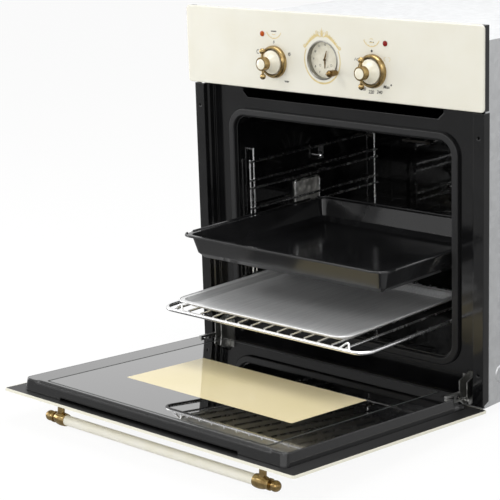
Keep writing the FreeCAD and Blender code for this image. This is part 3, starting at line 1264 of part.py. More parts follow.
def handle_bracket():
    """Vase-shaped brass ferrule with a neck ring and a ball, on a post that is bolted through the glass."""
    end = HANDLE_L / 2
    mouth = end - FERRULE_LAP
    tip = end + FERRULE_L
    ring = tip + NECK_RING_L
    bore = HANDLE_R + FIT
    neck = ring + NECK_L
    ball = neck + math.sqrt(FINIAL_R ** 2 - FINIAL_NECK_R ** 2)
    waist = tip - FERRULE_WAIST
    profile = [(mouth, bore), (mouth, bore + FERRULE_WALL),
               (mouth + FERRULE_BELLY, FERRULE_R, waist, FERRULE_NECK_R + 1), (tip, FERRULE_NECK_R),
               (tip, NECK_RING_R), (ring, NECK_RING_R), (ring, FINIAL_NECK_R),
               (neck, FINIAL_NECK_R), (ball, FINIAL_R, ball + FINIAL_R, 0), (end, 0), (end, bore)]
    ferrule = turned(profile, handle_axis(), ALONG_X)
    z = DOOR_BOTTOM + HANDLE_UP
    face = Vector(POST_X, FRONT_Y, z)
    inside = Vector(POST_X, FRONT_Y + GLASS_T, z)
    post = rod(POST_R, Vector(POST_X, FRONT_Y - HANDLE_OFF, z), face)
    foot = rod(POST_FOOT_R, face - ALONG_Y * POST_FOOT_T, face)
    stud = rod(STUD_R, face, face + ALONG_Y * STUD_L)
    nut = rod(NUT_R, inside, inside + ALONG_Y * NUT_T)
    return fused(ferrule, post, foot, stud, nut)


# Door hinges

def hinge_bracket():
    """Plated U-shaped bracket: two cheeks ahead of the frame and a closed cassette behind it."""
    nose_top = PIVOT_Y - CHEEK_NOSE_R
    outline = [(PIVOT_Y, CASSETTE_Z), (FRAME_BACK + 2, CASSETTE_Z), (FRAME_BACK + 2, CHEEK_BACK),
               (FRAME_Y, CHEEK_BACK), (nose_top, CHEEK_FRONT), (nose_top, PIVOT_Z), (PIVOT_Y, PIVOT_Z)]
    half = CHEEK_GAP / 2
    parts = []
    for x in (HINGE_X - half - CHEEK_T, HINGE_X + half):
        cheek = prism(polygon(outline, at_side(x)), ALONG_X * CHEEK_T)
        eye = rod(CHEEK_NOSE_R, Vector(x, PIVOT_Y, PIVOT_Z), Vector(x + CHEEK_T, PIVOT_Y, PIVOT_Z))
        parts += [cheek, eye]
    x0, x1 = HINGE_X - half - CHEEK_T, HINGE_X + half + CHEEK_T
    parts.append(box(x0, x1, FRAME_BACK + 1, FRAME_BACK + CASSETTE_L, CASSETTE_Z, CHEEK_BACK))
    parts.append(box(x0 - HINGE_TAB, x0, FRAME_Y - HINGE_TAB_T, FRAME_Y, CASSETTE_Z + 5, CHEEK_BACK - 5))
    bracket = fused(*parts)
    return hole(bracket, PIN_R + FIT, Vector(x0 - 1, PIVOT_Y, PIVOT_Z), Vector(x1 + 1, PIVOT_Y, PIVOT_Z))


def hinge_pin():
    reach = CHEEK_GAP / 2 + CHEEK_T
    end = reach + PIN_HEAD_T
    profile = [(-end, 0), (-end, PIN_HEAD_R), (-reach, PIN_HEAD_R), (-reach, PIN_R), (reach, PIN_R),
               (reach, PIN_HEAD_R), (end, PIN_HEAD_R), (end, 0)]
    return turned(profile, Vector(HINGE_X, PIVOT_Y, PIVOT_Z), ALONG_X)


def hinge_arm():
    """Flat arm on the pin that runs up inside the door pan, with the claw that grips the pan's edge."""
    x0 = HINGE_X - ARM_T / 2
    rim = FRONT_Y + DOOR_T
    inner = rim - PAN_T
    def bar(y0, y1, up0, up1):
        return box(x0, x0 + ARM_T, y0, y1, DOOR_BOTTOM + up0, DOOR_BOTTOM + up1)
    eye = rod(ARM_EYE_R, Vector(x0, PIVOT_Y, PIVOT_Z), Vector(x0 + ARM_T, PIVOT_Y, PIVOT_Z))
    stem = bar(PIVOT_Y - ARM_HALF, PIVOT_Y + ARM_HALF, PIVOT_UP, ARM_L)
    seat = bar(PIVOT_Y, inner, ARM_L - CLAW_NECK * 3, ARM_L)
    middle = (CLAW_FROM + POCKET_L) / 2
    neck = bar(PIVOT_Y, rim + SEAT + CLAW_T / 2, middle - CLAW_NECK / 2, middle + CLAW_NECK / 2)
    claw = bar(rim + SEAT, rim + SEAT + CLAW_T, CLAW_FROM, CLAW_TO)
    arm = fused(stem, eye, seat, neck, claw)
    return hole(arm, PIN_R + FIT, Vector(x0 - 1, PIVOT_Y, PIVOT_Z), Vector(x0 + ARM_T + 1, PIVOT_Y, PIVOT_Z))


# Ware

def deep_tray():
    half = TRAY_W / 2
    front = -TRAY_PULL
    r = TRAY_RIM
    tray = dish(half - r, front + r, front + TRAY_D - r, TRAY_Z + TRAY_T, TRAY_H, TRAY_DRAFT, TRAY_CORNER,
                TRAY_T, r)
    notches = []
    for y in (front + TRAY_NOTCH_INSET, front + TRAY_D - TRAY_NOTCH_INSET):
        notch = box(half - TRAY_NOTCH_D, half + 1, y - TRAY_NOTCH_W / 2, y + TRAY_NOTCH_W / 2, TRAY_Z - 1,
                    TRAY_Z + TRAY_T + 1)
        notches += both_sides(notch)
    return tray.cut(notches)


def wire_rack():
    """Oven grid: a closed frame of thick wire, thin wires from front to back and two raised hooks."""
    half = GRID_W / 2
    front, back = -GRID_PULL, GRID_D - GRID_PULL
    corners = [Vector(x, y, GRID_Z) for x, y in ((-half, front), (half, front), (half, back), (-half, back))]
    frame = round_wire(bent_path(corners, GRID_CORNER, closed=True), GRID_WIRE_R)
    z = GRID_Z + GRID_WIRE_R + GRID_CROSS_R - GRID_WELD
    count = int((GRID_W - 2 * GRID_CORNER) / GRID_PITCH) + 1
    wires = []
    for i in range(count):
        x = (i - (count - 1) / 2) * GRID_PITCH
        wires.append(rod(GRID_CROSS_R, Vector(x, front, z), Vector(x, back, z)))
    for x in (-HOOK_X, HOOK_X):
        feet = [Vector(x + s * HOOK_W / 2, front, GRID_Z + GRID_WIRE_R - GRID_WELD) for s in (-1, 1)]
        apex = Vector(x + HOOK_W / 4, front + HOOK_RISE / 2, GRID_Z + GRID_WIRE_R + HOOK_RISE)
        wires.append(tube([feet[0], apex, feet[1]], HOOK_WIRE_R, 2 * HOOK_WIRE_R))
    return fused(frame, *wires)


def baking_sheet():
    half, r = SHEET_W / 2 - SHEET_RIM, SHEET_RIM
    front = -GRID_PULL + SHEET_SETBACK
    top = GRID_TOP + SHEET_H
    sheet = dish(half, front + r, front + SHEET_D - r, top, SHEET_H, SHEET_DRAFT, SHEET_CORNER, SHEET_T, r)
    edge = rounded(-half - r, half + r, front, front + SHEET_D, SHEET_CORNER + r, at_height(top - SHEET_T / 2))
    sheet = fused(sheet, round_wire(edge, SHEET_BEAD_R))
    sheet.translate(ALONG_X * SHEET_SHIFT)
    return sheet


def pieces():
    """Every node of the oven by name; a list is a group of like pieces."""
    hand_y = FRONT_Y + DIAL_DEPTH
    return {
        "base_pan": base_pan(),
        "side_panel_left": mirrored(side_panel()),
        "side_panel_right": side_panel(),
        "top_cover": top_cover(),
        "back_panel": back_panel(),
        "front_frame": front_frame(),
        "side_trim_left": mirrored(side_trim()),
        "side_trim_right": side_trim(),
        "cavity_shell": cavity_shell(),
        "cavity_back": cavity_back(),
        "burner_cover": burner_cover(),
        "door_seal": door_seal(),
        "insulation_wrap": insulation_wrap(),
        "vent_duct": vent_duct(),
        "side_racks": both_sides(side_rack()),
        "rack_screws": both_sides(rack_screw()),
        "lamp_holder": lamp_holder(),
        "lamp_glass": lamp_glass(),
        "grill_element": grill_element(),
        "thermostat_bulb": thermostat_bulb(),
        "fan_cover": fan_cover(),
        "fan_rotor": fan_rotor(),
        "fan_motor": fan_motor(),
        "gas_burner": gas_burner(),
        "igniter_electrode": probe(ELECTRODE_R, ELECTRODE_OUT),
        "flame_thermocouple": probe(COUPLE_R, COUPLE_OUT),
        "burner_injector": burner_injector(),
        "burner_pipe": burner_pipe(),
        "gas_valve": gas_valve(),
        "valve_spindle": spindle(GAS_X),
        "gas_inlet": gas_inlet(),
        "control_panel": control_panel(),
        "panel_caps": both_sides(panel_cap()),
        "panel_chassis": panel_chassis(),
        "indicator_lamps": [indicator_lamp(x) for x in lamp_places()],
        "function_switch": function_switch(),
        "switch_spindle": spindle(SWITCH_X),
        "knob_rings": [knob_ring(SWITCH_X), knob_ring(GAS_X)],
        "function_knob": knob(SWITCH_X),
        "function_knob_crossbar": knob_crossbar(SWITCH_X),
        "gas_knob": knob(GAS_X),
        "gas_knob_crossbar": knob_crossbar(GAS_X),
        "clock_movement": clock_movement(),
        "clock_bezel": clock_bezel(),
        "clock_dial": clock_dial(),
        "hour_hand": clock_hand(HOUR_L, hand_y - 2 * HAND_T, HOUR_TURN),
        "minute_hand": clock_hand(MINUTE_L, hand_y - 4 * HAND_T, MINUTE_TURN),
        "clock_setting_knob": clock_setting_knob(),
        "terminal_box": terminal_box(),
        "door_outer_glass": opened(door_outer_glass()),
        "door_pan": opened(door_pan()),
        "door_inner_glass": opened(door_inner_glass()),
        "handle_bar": opened(handle_bar()),
        "handle_brackets": [opened(s) for s in both_sides(handle_bracket())],
        "hinge_brackets": both_sides(hinge_bracket()),
        "hinge_pins": both_sides(hinge_pin()),
        "hinge_arms": [opened(s) for s in both_sides(hinge_arm())],
        "deep_tray": deep_tray(),
        "wire_rack": wire_rack(),
        "baking_sheet": baking_sheet(),
    }


os.makedirs("parts", exist_ok=True)
for name, shape in pieces().items():
    whole = Part.makeCompound(shape) if isinstance(shape, list) else shape
    whole.exportStep("parts/%s.step" % name)
    print(name, "solids", len(whole.Solids), "valid", whole.isValid(), "volume", round(whole.Volume))
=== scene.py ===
"""Looks of a built-in gas oven: ivory enamel, antique brass, black vitreous enamel, chromed wire and glass.

Objects are in metres in the part's own frame: X to the viewer's right, Y to the back, Z up.
Named sizes are in millimetres and angles in degrees, where nothing else is said.
"""
import json
import math

import bmesh
import bpy
from mathutils import Matrix, Vector


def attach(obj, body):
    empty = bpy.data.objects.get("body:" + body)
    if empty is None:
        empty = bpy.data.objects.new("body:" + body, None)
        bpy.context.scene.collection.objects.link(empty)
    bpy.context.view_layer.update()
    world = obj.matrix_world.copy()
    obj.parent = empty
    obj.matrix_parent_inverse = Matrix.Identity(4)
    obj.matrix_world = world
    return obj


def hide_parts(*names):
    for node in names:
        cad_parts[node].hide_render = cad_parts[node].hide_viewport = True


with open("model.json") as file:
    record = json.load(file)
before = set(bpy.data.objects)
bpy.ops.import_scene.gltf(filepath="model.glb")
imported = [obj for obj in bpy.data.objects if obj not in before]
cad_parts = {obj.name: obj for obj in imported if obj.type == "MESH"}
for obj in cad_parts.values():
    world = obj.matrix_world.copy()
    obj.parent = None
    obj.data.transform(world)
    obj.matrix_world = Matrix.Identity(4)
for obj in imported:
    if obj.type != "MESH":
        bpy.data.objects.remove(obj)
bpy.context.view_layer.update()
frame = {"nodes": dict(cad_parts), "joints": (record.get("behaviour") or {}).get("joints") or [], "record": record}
MM = 0.001

# Places on the oven's front
FRONT_Y = -24.0
CLOCK_X = -4.8
CLOCK_Z = 518.3
DIAL_Y = -17.0
SWITCH_X = -104.5          # middle of the left knob's signs
GAS_X = 94.0               # middle of the right knob's signs

# Print on the panel and on the clock's dial
PRINT_LIFT = 0.06          # printed ink above the enamel
DIAL_PRINT_LIFT = 0.05     # and above the dial card
PANEL_PRINT_Y = FRONT_Y - PRINT_LIFT
DIAL_PRINT_Y = DIAL_Y - DIAL_PRINT_LIFT
STROKE_STEP = 0.003        # each printed stroke lies a little over the last
LEAF_STEPS = 8
LEAF_TIP = 0.2             # width of a leaf at its point
ORNAMENT_R = 36.0          # thin gold ring round the clock
SWAG_Z = 546.0             # lowest place of the garlands
SWAG_R = 16.5              # bow of the garlands
GAS_SWAG_X = GAS_X - 1.0
FIGURE_SLANT = 0.2
FIGURE_WEIGHT = 0.025      # thickening of a figure, as a share of its height
ZERO_H = 6.0
ZERO_AT = (-105.1, 540.2)
HEAT_H = 7.0
HEAT_FIGURES = (("200", 75.7, 480.2), ("220", 91.3, 476.6), ("240", 107.3, 477.6), ("Max", 120.8, 486.6))
HOUR_H = 4.4
HOUR_R = 23.5              # hour figures from the clock's middle
LAMP_SIGN_AT = (-72.5, 523.2)
FAN_SIGN_AT = (-79.3, 479.2)
HEAT_SIGN_AT = (-138.8, 523.0)
DROP_SIGN_AT = (64.0, 524.7)
FLAME_Z = 529.4
LEFT_FLAME_X = 119.8
RIGHT_FLAME_X = 125.4

# Door, shut
DOOR_BOTTOM = 14.0
DOOR_W = 596.0
DOOR_H = 446.0
DOOR_T = 24.0
DOOR_CORNER = 5.0
GLASS_T = 4.0
ARRIS = 1.5                # ground edge of the panes
INNER_W = 452.0
INNER_LOW = 28.0
INNER_HIGH = 418.0
INNER_CORNER = 4.0
WINDOW_MID = 10.0          # the window in the inner pane lies right of the door's middle
WINDOW_W = 340.0
WINDOW_LOW = 144.0
WINDOW_HIGH = 316.0
WINDOW_CORNER = 2.0
FRONT_WINDOW_W = 400.0     # the front pane's window is wider and starts lower
FRONT_WINDOW_LOW = 89.0
FRONT_WINDOW_HIGH = 345.0

# Rolled edges
BEAD_SIDES = 10
TRAY_T = 1.2
TRAY_BEAD_R = 1.6
TRAY_CORNER = 25.0
TRAY_SWEEP = 70            # the rolled rim's turn round each corner, up to the notch
TRAY_SWEEP_STEPS = 8
TRAY_NOTCH_END = 31.0      # far side of the rim's notches from its front and back
LAMP_WIRE_R = 1.2
LAMP_CORNER = 4.0

# Surfaces
NOISE_LOW = 0.3            # a noise texture hardly leaves the span between these two
NOISE_HIGH = 0.7
EDGE_SAMPLES = 8           # rays that soften a pressed edge
WHITE = "#FFFFFF"

# Camera and stage, in metres, degrees and watts
CAMERA_AT = (1.7040, -2.0362, 0.8854)
CAMERA_AZIMUTH = 42.969
CAMERA_ELEVATION = 14.185
CAMERA_ROLL = -1.801
CAMERA_LENS = 122.93       # lens, and the sensor's width, in millimetres
CAMERA_SENSOR = 36.0
CAMERA_NEAR = 0.05
FILL_LIGHT = 0.5           # the world's light on the oven
FLOOR_Z = -0.0135
FLOOR_HALF = 8.0
FLOOR_GLOW = 0.92          # share of plain white in the floor that the camera sees
FLOOR_MIRRORED = 0.4       # the floor's brightness in gloss
LAMP_AIM = (0.0, -0.05, 0.3)
SOFTBOXES = (              # name, place, width and power
    ("key_softbox", (-1.6, -2.4, 2.6), 1.2, 26),
    ("right_softbox", (2.6, -1.2, 1.8), 1.4, 9),
    ("top_softbox", (0.2, 0.3, 2.8), 2.2, 54),
    ("front_softbox", (1.3, -2.3, 0.9), 0.6, 10),
    ("left_low_softbox", (-2.0, -0.9, 0.6), 1.0, 13),
)


# Small helpers

def linear(code):
    """Linear colour, with alpha, of an sRGB hex code."""
    parts = [int(code[i:i + 2], 16) / 255 for i in (1, 3, 5)]
    return [c / 12.92 if c <= 0.04045 else ((c + 0.055) / 1.055) ** 2.4 for c in parts] + [1.0]


def add(tree, kind, inputs=None, feeds=None, stops=(), **settings):
    """Add a node with its settings and links.

    inputs hold values, sockets, or nodes whose first output is meant, and feeds is a socket that the new
    node's first output goes to. stops are the (position, hex code) pairs of a colour ramp.
    """
    node = tree.nodes.new(kind)
    for name, value in settings.items():
        setattr(node, name, value)
    for name, value in (inputs or {}).items():
        if isinstance(value, bpy.types.Node):
            value = value.outputs[0]
        if isinstance(value, bpy.types.NodeSocket):
            tree.links.new(value, node.inputs[name])
        else:
            node.inputs[name].default_value = value
    for position, _ in stops[2:]:
        node.color_ramp.elements.new(position)
    for i, (position, code) in enumerate(stops):
        node.color_ramp.elements[i].position = position
        node.color_ramp.elements[i].color = linear(code)
    if feeds is not None:
        tree.links.new(node.outputs[0], feeds)
    return node


def material(name, **sockets):
    """New material with its surface shader; socket names are written with underscores."""
    made = bpy.data.materials.new(name)
    made.use_nodes = True
    shader = made.node_tree.nodes["Principled BSDF"]
    for key, value in sockets.items():
        shader.inputs[key.replace("_", " ")].default_value = value
    return made, made.node_tree, shader


def scale_of(millimetres):
    """Texture scale at which one feature of a noise or cell pattern is about this wide."""
    return 1000.0 / millimetres


def between(low, high):
    """Ramp stops from one tone to another over the span that a noise texture fills."""
    return [(NOISE_LOW, low), (NOISE_HIGH, high)]


# Materials

def ivory_enamel():
    """Ivory gloss enamel on pressed steel: an even warm white with a faint orange-peel skin."""
    made, tree, shader = material("ivory_enamel", Roughness=0.26, IOR=1.5, Coat_Weight=0.25,
                                  Coat_Roughness=0.06)
    where = add(tree, "ShaderNodeTexCoord").outputs["Object"]
    cloud = add(tree, "ShaderNodeTexNoise", {"Vector": where, "Scale": scale_of(60), "Detail": 3.0})
    add(tree, "ShaderNodeValToRGB", {"Fac": cloud}, shader.inputs["Base Color"],
        between("#E4E0D1", "#E8E5D9"))
    peel = add(tree, "ShaderNodeTexNoise", {"Vector": where, "Scale": scale_of(2.2), "Detail": 1.0})
    pressed = add(tree, "ShaderNodeBevel", {"Radius": 2.5 * MM}, samples=EDGE_SAMPLES)
    add(tree, "ShaderNodeBump", {"Height": peel, "Strength": 0.05, "Distance": 0.12 * MM, "Normal": pressed},
        shader.inputs["Normal"])
    return made


def ivory_moulding():
    """Ivory thermoset of the knobs: moulded smooth, a little deeper in tone than the enamel."""
    made, tree, shader = material("ivory_moulded_thermoset", Roughness=0.18, IOR=1.52, Coat_Weight=0.3,
                                  Coat_Roughness=0.04)
    where = add(tree, "ShaderNodeTexCoord").outputs["Object"]
    cloud = add(tree, "ShaderNodeTexNoise", {"Vector": where, "Scale": scale_of(14), "Detail": 3.0})
    add(tree, "ShaderNodeValToRGB", {"Fac": cloud}, shader.inputs["Base Color"],
        between("#E6DFC8", "#EFEADA"))
    add(tree, "ShaderNodeBump", {"Height": cloud, "Strength": 0.04, "Distance": 0.2 * MM},
        shader.inputs["Normal"])
    return made


def ivory_lacquer():
    """Ivory powder lacquer on the handle tube: satin, with a very fine grain along it."""
    made, tree, shader = material("ivory_lacquered_tube", Roughness=0.34, IOR=1.5)
    where = add(tree, "ShaderNodeTexCoord").outputs["Object"]
    cloud = add(tree, "ShaderNodeTexNoise", {"Vector": where, "Scale": scale_of(30), "Detail": 4.0})
    add(tree, "ShaderNodeValToRGB", {"Fac": cloud}, shader.inputs["Base Color"],
        between("#F7F3E4", "#FBF8EE"))
    grain = add(tree, "ShaderNodeTexNoise", {"Vector": where, "Scale": scale_of(1.5), "Detail": 2.0})
    add(tree, "ShaderNodeBump", {"Height": grain, "Strength": 0.08, "Distance": 0.1 * MM},
        shader.inputs["Normal"])
    return made


def brass(name, dark, light, patch_mm, roughness):
    """Brass castings: bright where hands rub them, browner where lacquer and time have dulled them."""
    made, tree, shader = material(name, Metallic=1.0)
    where = add(tree, "ShaderNodeTexCoord").outputs["Object"]
    patina = add(tree, "ShaderNodeTexNoise", {"Vector": where, "Scale": scale_of(patch_mm), "Detail": 5.0,
                                              "Roughness": 0.6})
    add(tree, "ShaderNodeValToRGB", {"Fac": patina}, shader.inputs["Base Color"],
        [(NOISE_LOW, dark), (0.66, light)])
    add(tree, "ShaderNodeMapRange", {"Value": patina, "To Min": roughness + 0.14, "To Max": roughness},
        shader.inputs["Roughness"])
    fine = add(tree, "ShaderNodeTexNoise", {"Vector": where, "Scale": scale_of(0.9), "Detail": 2.0})
    add(tree, "ShaderNodeBump", {"Height": fine, "Strength": 0.06, "Distance": 0.08 * MM},
        shader.inputs["Normal"])
    return made


def vitreous_enamel(name, low, high, roughness, coat=0.0, edge_mm=2.0, speckled=False):
    """Fired dark enamel: a deep gloss over a slightly wavy coat that lies soft round pressed edges.

    Speckled enamel has small pale specks in it.
    """
    made, tree, shader = material(name, IOR=1.52, Coat_Weight=coat, Coat_Roughness=0.03)
    where = add(tree, "ShaderNodeTexCoord").outputs["Object"]
    cloud = add(tree, "ShaderNodeTexNoise", {"Vector": where, "Scale": scale_of(45), "Detail": 4.0})
    ground = add(tree, "ShaderNodeValToRGB", {"Fac": cloud}, shader.inputs["Base Color"], between(low, high))
    if speckled:
        # Specks are about 1 mm, a little coarser than the real ones so that they show.
        cells = add(tree, "ShaderNodeTexVoronoi", {"Vector": where, "Scale": scale_of(7.0)})
        dots = add(tree, "ShaderNodeValToRGB", {"Fac": cells},
                   stops=[(0.0, WHITE), (0.075, WHITE), (0.1, "#000000")])
        mixed = add(tree, "ShaderNodeMix", {0: dots, 6: ground, 7: linear("#3A3A3C")}, data_type="RGBA")
        tree.links.new(mixed.outputs[2], shader.inputs["Base Color"])
    add(tree, "ShaderNodeMapRange", {"Value": cloud, "To Min": roughness, "To Max": roughness + 0.06},
        shader.inputs["Roughness"])
    wave = add(tree, "ShaderNodeTexNoise", {"Vector": where, "Scale": scale_of(9), "Detail": 1.0})
    pressed = add(tree, "ShaderNodeBevel", {"Radius": edge_mm * MM}, samples=EDGE_SAMPLES)
    add(tree, "ShaderNodeBump", {"Height": wave, "Strength": 0.05, "Distance": 0.25 * MM, "Normal": pressed},
        shader.inputs["Normal"])
    return made


def galvanised_sheet():
    """Hot-dip galvanised sheet: pale grey metal with a faint crystal spangle."""
    made, tree, shader = material("galvanised_sheet", Metallic=0.85)
    where = add(tree, "ShaderNodeTexCoord").outputs["Object"]
    spangle = add(tree, "ShaderNodeTexVoronoi", {"Vector": where, "Scale": scale_of(9)})
    crystal = add(tree, "ShaderNodeSeparateColor", {"Color": spangle.outputs["Color"]})
    add(tree, "ShaderNodeValToRGB", {"Fac": crystal.outputs["Red"]}, shader.inputs["Base Color"],
        [(0.0, "#D2D3D4"), (1.0, "#DADBDC")])
    add(tree, "ShaderNodeMapRange", {"Value": crystal.outputs["Green"], "To Min": 0.42, "To Max": 0.54},
        shader.inputs["Roughness"])
    roll = add(tree, "ShaderNodeTexNoise", {"Vector": where, "Scale": scale_of(120), "Detail": 2.0})
    add(tree, "ShaderNodeBump", {"Height": roll, "Strength": 0.08, "Distance": 1.0 * MM},
        shader.inputs["Normal"])
    return made


def chrome_wire():
    """Bright chromium plate over drawn wire: a mirror, a little uneven in its shine."""
    made, tree, shader = material("chromed_wire", Metallic=1.0)
    where = add(tree, "ShaderNodeTexCoord").outputs["Object"]
    cloud = add(tree, "ShaderNodeTexNoise", {"Vector": where, "Scale": scale_of(18), "Detail": 3.0})
    add(tree, "ShaderNodeValToRGB", {"Fac": cloud}, shader.inputs["Base Color"],
        between("#E8E8E9", "#F6F6F6"))
    add(tree, "ShaderNodeMapRange", {"Value": cloud, "To Min": 0.22, "To Max": 0.32},
        shader.inputs["Roughness"])
    return made


def satin_metal(name, low, high, roughness, streak, metallic=1.0):
    """Rolled or drawn metal: fine streaks along the rolling direction catch the light.

    Where an oxide skin dulls it, metallic is under one and part of the light scatters.
    """
    made, tree, shader = material(name, Metallic=metallic)
    where = add(tree, "ShaderNodeTexCoord").outputs["Object"]
    stretched = add(tree, "ShaderNodeMapping", {"Vector": where, "Scale": streak})
    lines = add(tree, "ShaderNodeTexNoise", {"Vector": stretched, "Scale": scale_of(3.0), "Detail": 5.0,
                                             "Roughness": 0.65})
    add(tree, "ShaderNodeValToRGB", {"Fac": lines}, shader.inputs["Base Color"], between(low, high))
    add(tree, "ShaderNodeMapRange", {"Value": lines, "To Min": roughness - 0.07, "To Max": roughness + 0.09},
        shader.inputs["Roughness"])
    add(tree, "ShaderNodeBump", {"Height": lines, "Strength": 0.1, "Distance": 0.05 * MM},
        shader.inputs["Normal"])
    return made


def black_polyamide():
    """Injection-moulded polyamide: matt black with a fine spark-eroded grain."""
    made, tree, shader = material("black_polyamide", IOR=1.49, Roughness=0.42)
    where = add(tree, "ShaderNodeTexCoord").outputs["Object"]
    grain = add(tree, "ShaderNodeTexNoise", {"Vector": where, "Scale": scale_of(0.8), "Detail": 3.0})
    add(tree, "ShaderNodeValToRGB", {"Fac": grain}, shader.inputs["Base Color"],
        between("#121213", "#1D1D1E"))
    add(tree, "ShaderNodeBump", {"Height": grain, "Strength": 0.15, "Distance": 0.08 * MM},
        shader.inputs["Normal"])
    return made


def lamp_plastic():
    """Tinted polycarbonate lenses: amber on the left of the panel, red on the right."""
    made, tree, shader = material("tinted_polycarbonate", Roughness=0.2, IOR=1.58, Specular_IOR_Level=0.2)
    where = add(tree, "ShaderNodeTexCoord").outputs["Object"]
    across = add(tree, "ShaderNodeSeparateXYZ", {"Vector": where})
    right = add(tree, "ShaderNodeMath", {0: across.outputs["X"], 1: 0.0}, operation="GREATER_THAN")
    add(tree, "ShaderNodeValToRGB", {"Fac": right}, shader.inputs["Base Color"],
        [(0.0, "#B04A06"), (1.0, "#80120E")])
    return made


def silicone_rubber():
    """Extruded silicone seal: matt black with a soft grain."""
    made, tree, shader = material("black_silicone", Roughness=0.5, IOR=1.43)
    where = add(tree, "ShaderNodeTexCoord").outputs["Object"]
    grain = add(tree, "ShaderNodeTexNoise", {"Vector": where, "Scale": scale_of(3), "Detail": 4.0})
    add(tree, "ShaderNodeValToRGB", {"Fac": grain}, shader.inputs["Base Color"],
        between("#101011", "#1B1B1C"))
    add(tree, "ShaderNodeBump", {"Height": grain, "Strength": 0.2, "Distance": 0.1 * MM},
        shader.inputs["Normal"])
    return made


def glass_wool():
    """Needled glass wool behind the chamber: yellowish, matt and fibrous."""
    made, tree, shader = material("needled_glass_wool", Roughness=0.95, IOR=1.45)
    where = add(tree, "ShaderNodeTexCoord").outputs["Object"]
    fibres = add(tree, "ShaderNodeTexNoise", {"Vector": where, "Scale": scale_of(4), "Detail": 8.0,
                                              "Distortion": 2.0})
    add(tree, "ShaderNodeValToRGB", {"Fac": fibres}, shader.inputs["Base Color"],
        between("#B9AE86", "#E2DBBE"))
    add(tree, "ShaderNodeBump", {"Height": fibres, "Strength": 0.7, "Distance": 1.5 * MM},
        shader.inputs["Normal"])
    return made


def porcelain():
    """Glazed porcelain insulator: smooth and bright, a little cloudy in its white."""
    made, tree, shader = material("glazed_porcelain", Roughness=0.15, IOR=1.5)
    where = add(tree, "ShaderNodeTexCoord").outputs["Object"]
    cloud = add(tree, "ShaderNodeTexNoise", {"Vector": where, "Scale": scale_of(8), "Detail": 2.0})
    add(tree, "ShaderNodeValToRGB", {"Fac": cloud}, shader.inputs["Base Color"],
        between("#E2E0DA", "#EFEDE8"))
    return made


def printed_glass(name, low, high, roughness=0.02, coat=0.0, gloss=0.5):
    """Float glass with ceramic ink fired on its back: a mirror-smooth gloss over an even tone.

    A coat stands for the second reflection, from the heat-reflecting layer of the inner pane, and a lower gloss
    for a window whose pale tone, the lit floor seen through the glass and painted on, outshines the reflection.
    """
    made, tree, shader = material(name, Roughness=roughness, IOR=1.52, Specular_IOR_Level=gloss,
                                  Coat_Weight=coat, Coat_Roughness=0.02)
    where = add(tree, "ShaderNodeTexCoord").outputs["Object"]
    cloud = add(tree, "ShaderNodeTexNoise", {"Vector": where, "Scale": scale_of(150), "Detail": 2.0})
    add(tree, "ShaderNodeValToRGB", {"Fac": cloud}, shader.inputs["Base Color"], between(low, high))
    return made


def pressed_lamp_glass():
    """Pressed glass cover of the oven lamp: greyish and rippled, with painted glints: pale at the middle of each
    ripple, greyer towards its edges.
    """
    made, tree, shader = material("pressed_lamp_glass", Roughness=0.12, IOR=1.5)
    where = add(tree, "ShaderNodeTexCoord").outputs["Object"]
    ripple = add(tree, "ShaderNodeTexVoronoi", {"Vector": where, "Scale": scale_of(9)}, feature="SMOOTH_F1")
    # Painted glints: the colour is pale at the middle of each ripple and grey towards its edges.
    add(tree, "ShaderNodeValToRGB", {"Fac": ripple}, shader.inputs["Base Color"],
        [(0.1, "#DCDAD4"), (0.6, "#8A8985")])
    add(tree, "ShaderNodeBump", {"Height": ripple, "Strength": 0.6, "Distance": 2.0 * MM},
        shader.inputs["Normal"])
    return made


def ceramic_ink(name, low, high, roughness):
    """Screen-printed ceramic ink: thin, even and a little matt."""
    made, tree, shader = material(name, Roughness=roughness, IOR=1.5)
    where = add(tree, "ShaderNodeTexCoord").outputs["Object"]
    cloud = add(tree, "ShaderNodeTexNoise", {"Vector": where, "Scale": scale_of(6), "Detail": 2.0})
    add(tree, "ShaderNodeValToRGB", {"Fac": cloud}, shader.inputs["Base Color"], between(low, high))
    return made


def dial_card():
    """Printed dial card of the clock: warm cream with a soft paper grain."""
    made, tree, shader = material("printed_dial_card", Roughness=0.55, IOR=1.45)
    where = add(tree, "ShaderNodeTexCoord").outputs["Object"]
    grain = add(tree, "ShaderNodeTexNoise", {"Vector": where, "Scale": scale_of(5), "Detail": 5.0})
    add(tree, "ShaderNodeValToRGB", {"Fac": grain}, shader.inputs["Base Color"],
        between("#D9D3BF", "#E6E1D0"))
    add(tree, "ShaderNodeBump", {"Height": grain, "Strength": 0.1, "Distance": 0.1 * MM},
        shader.inputs["Normal"])
    return made


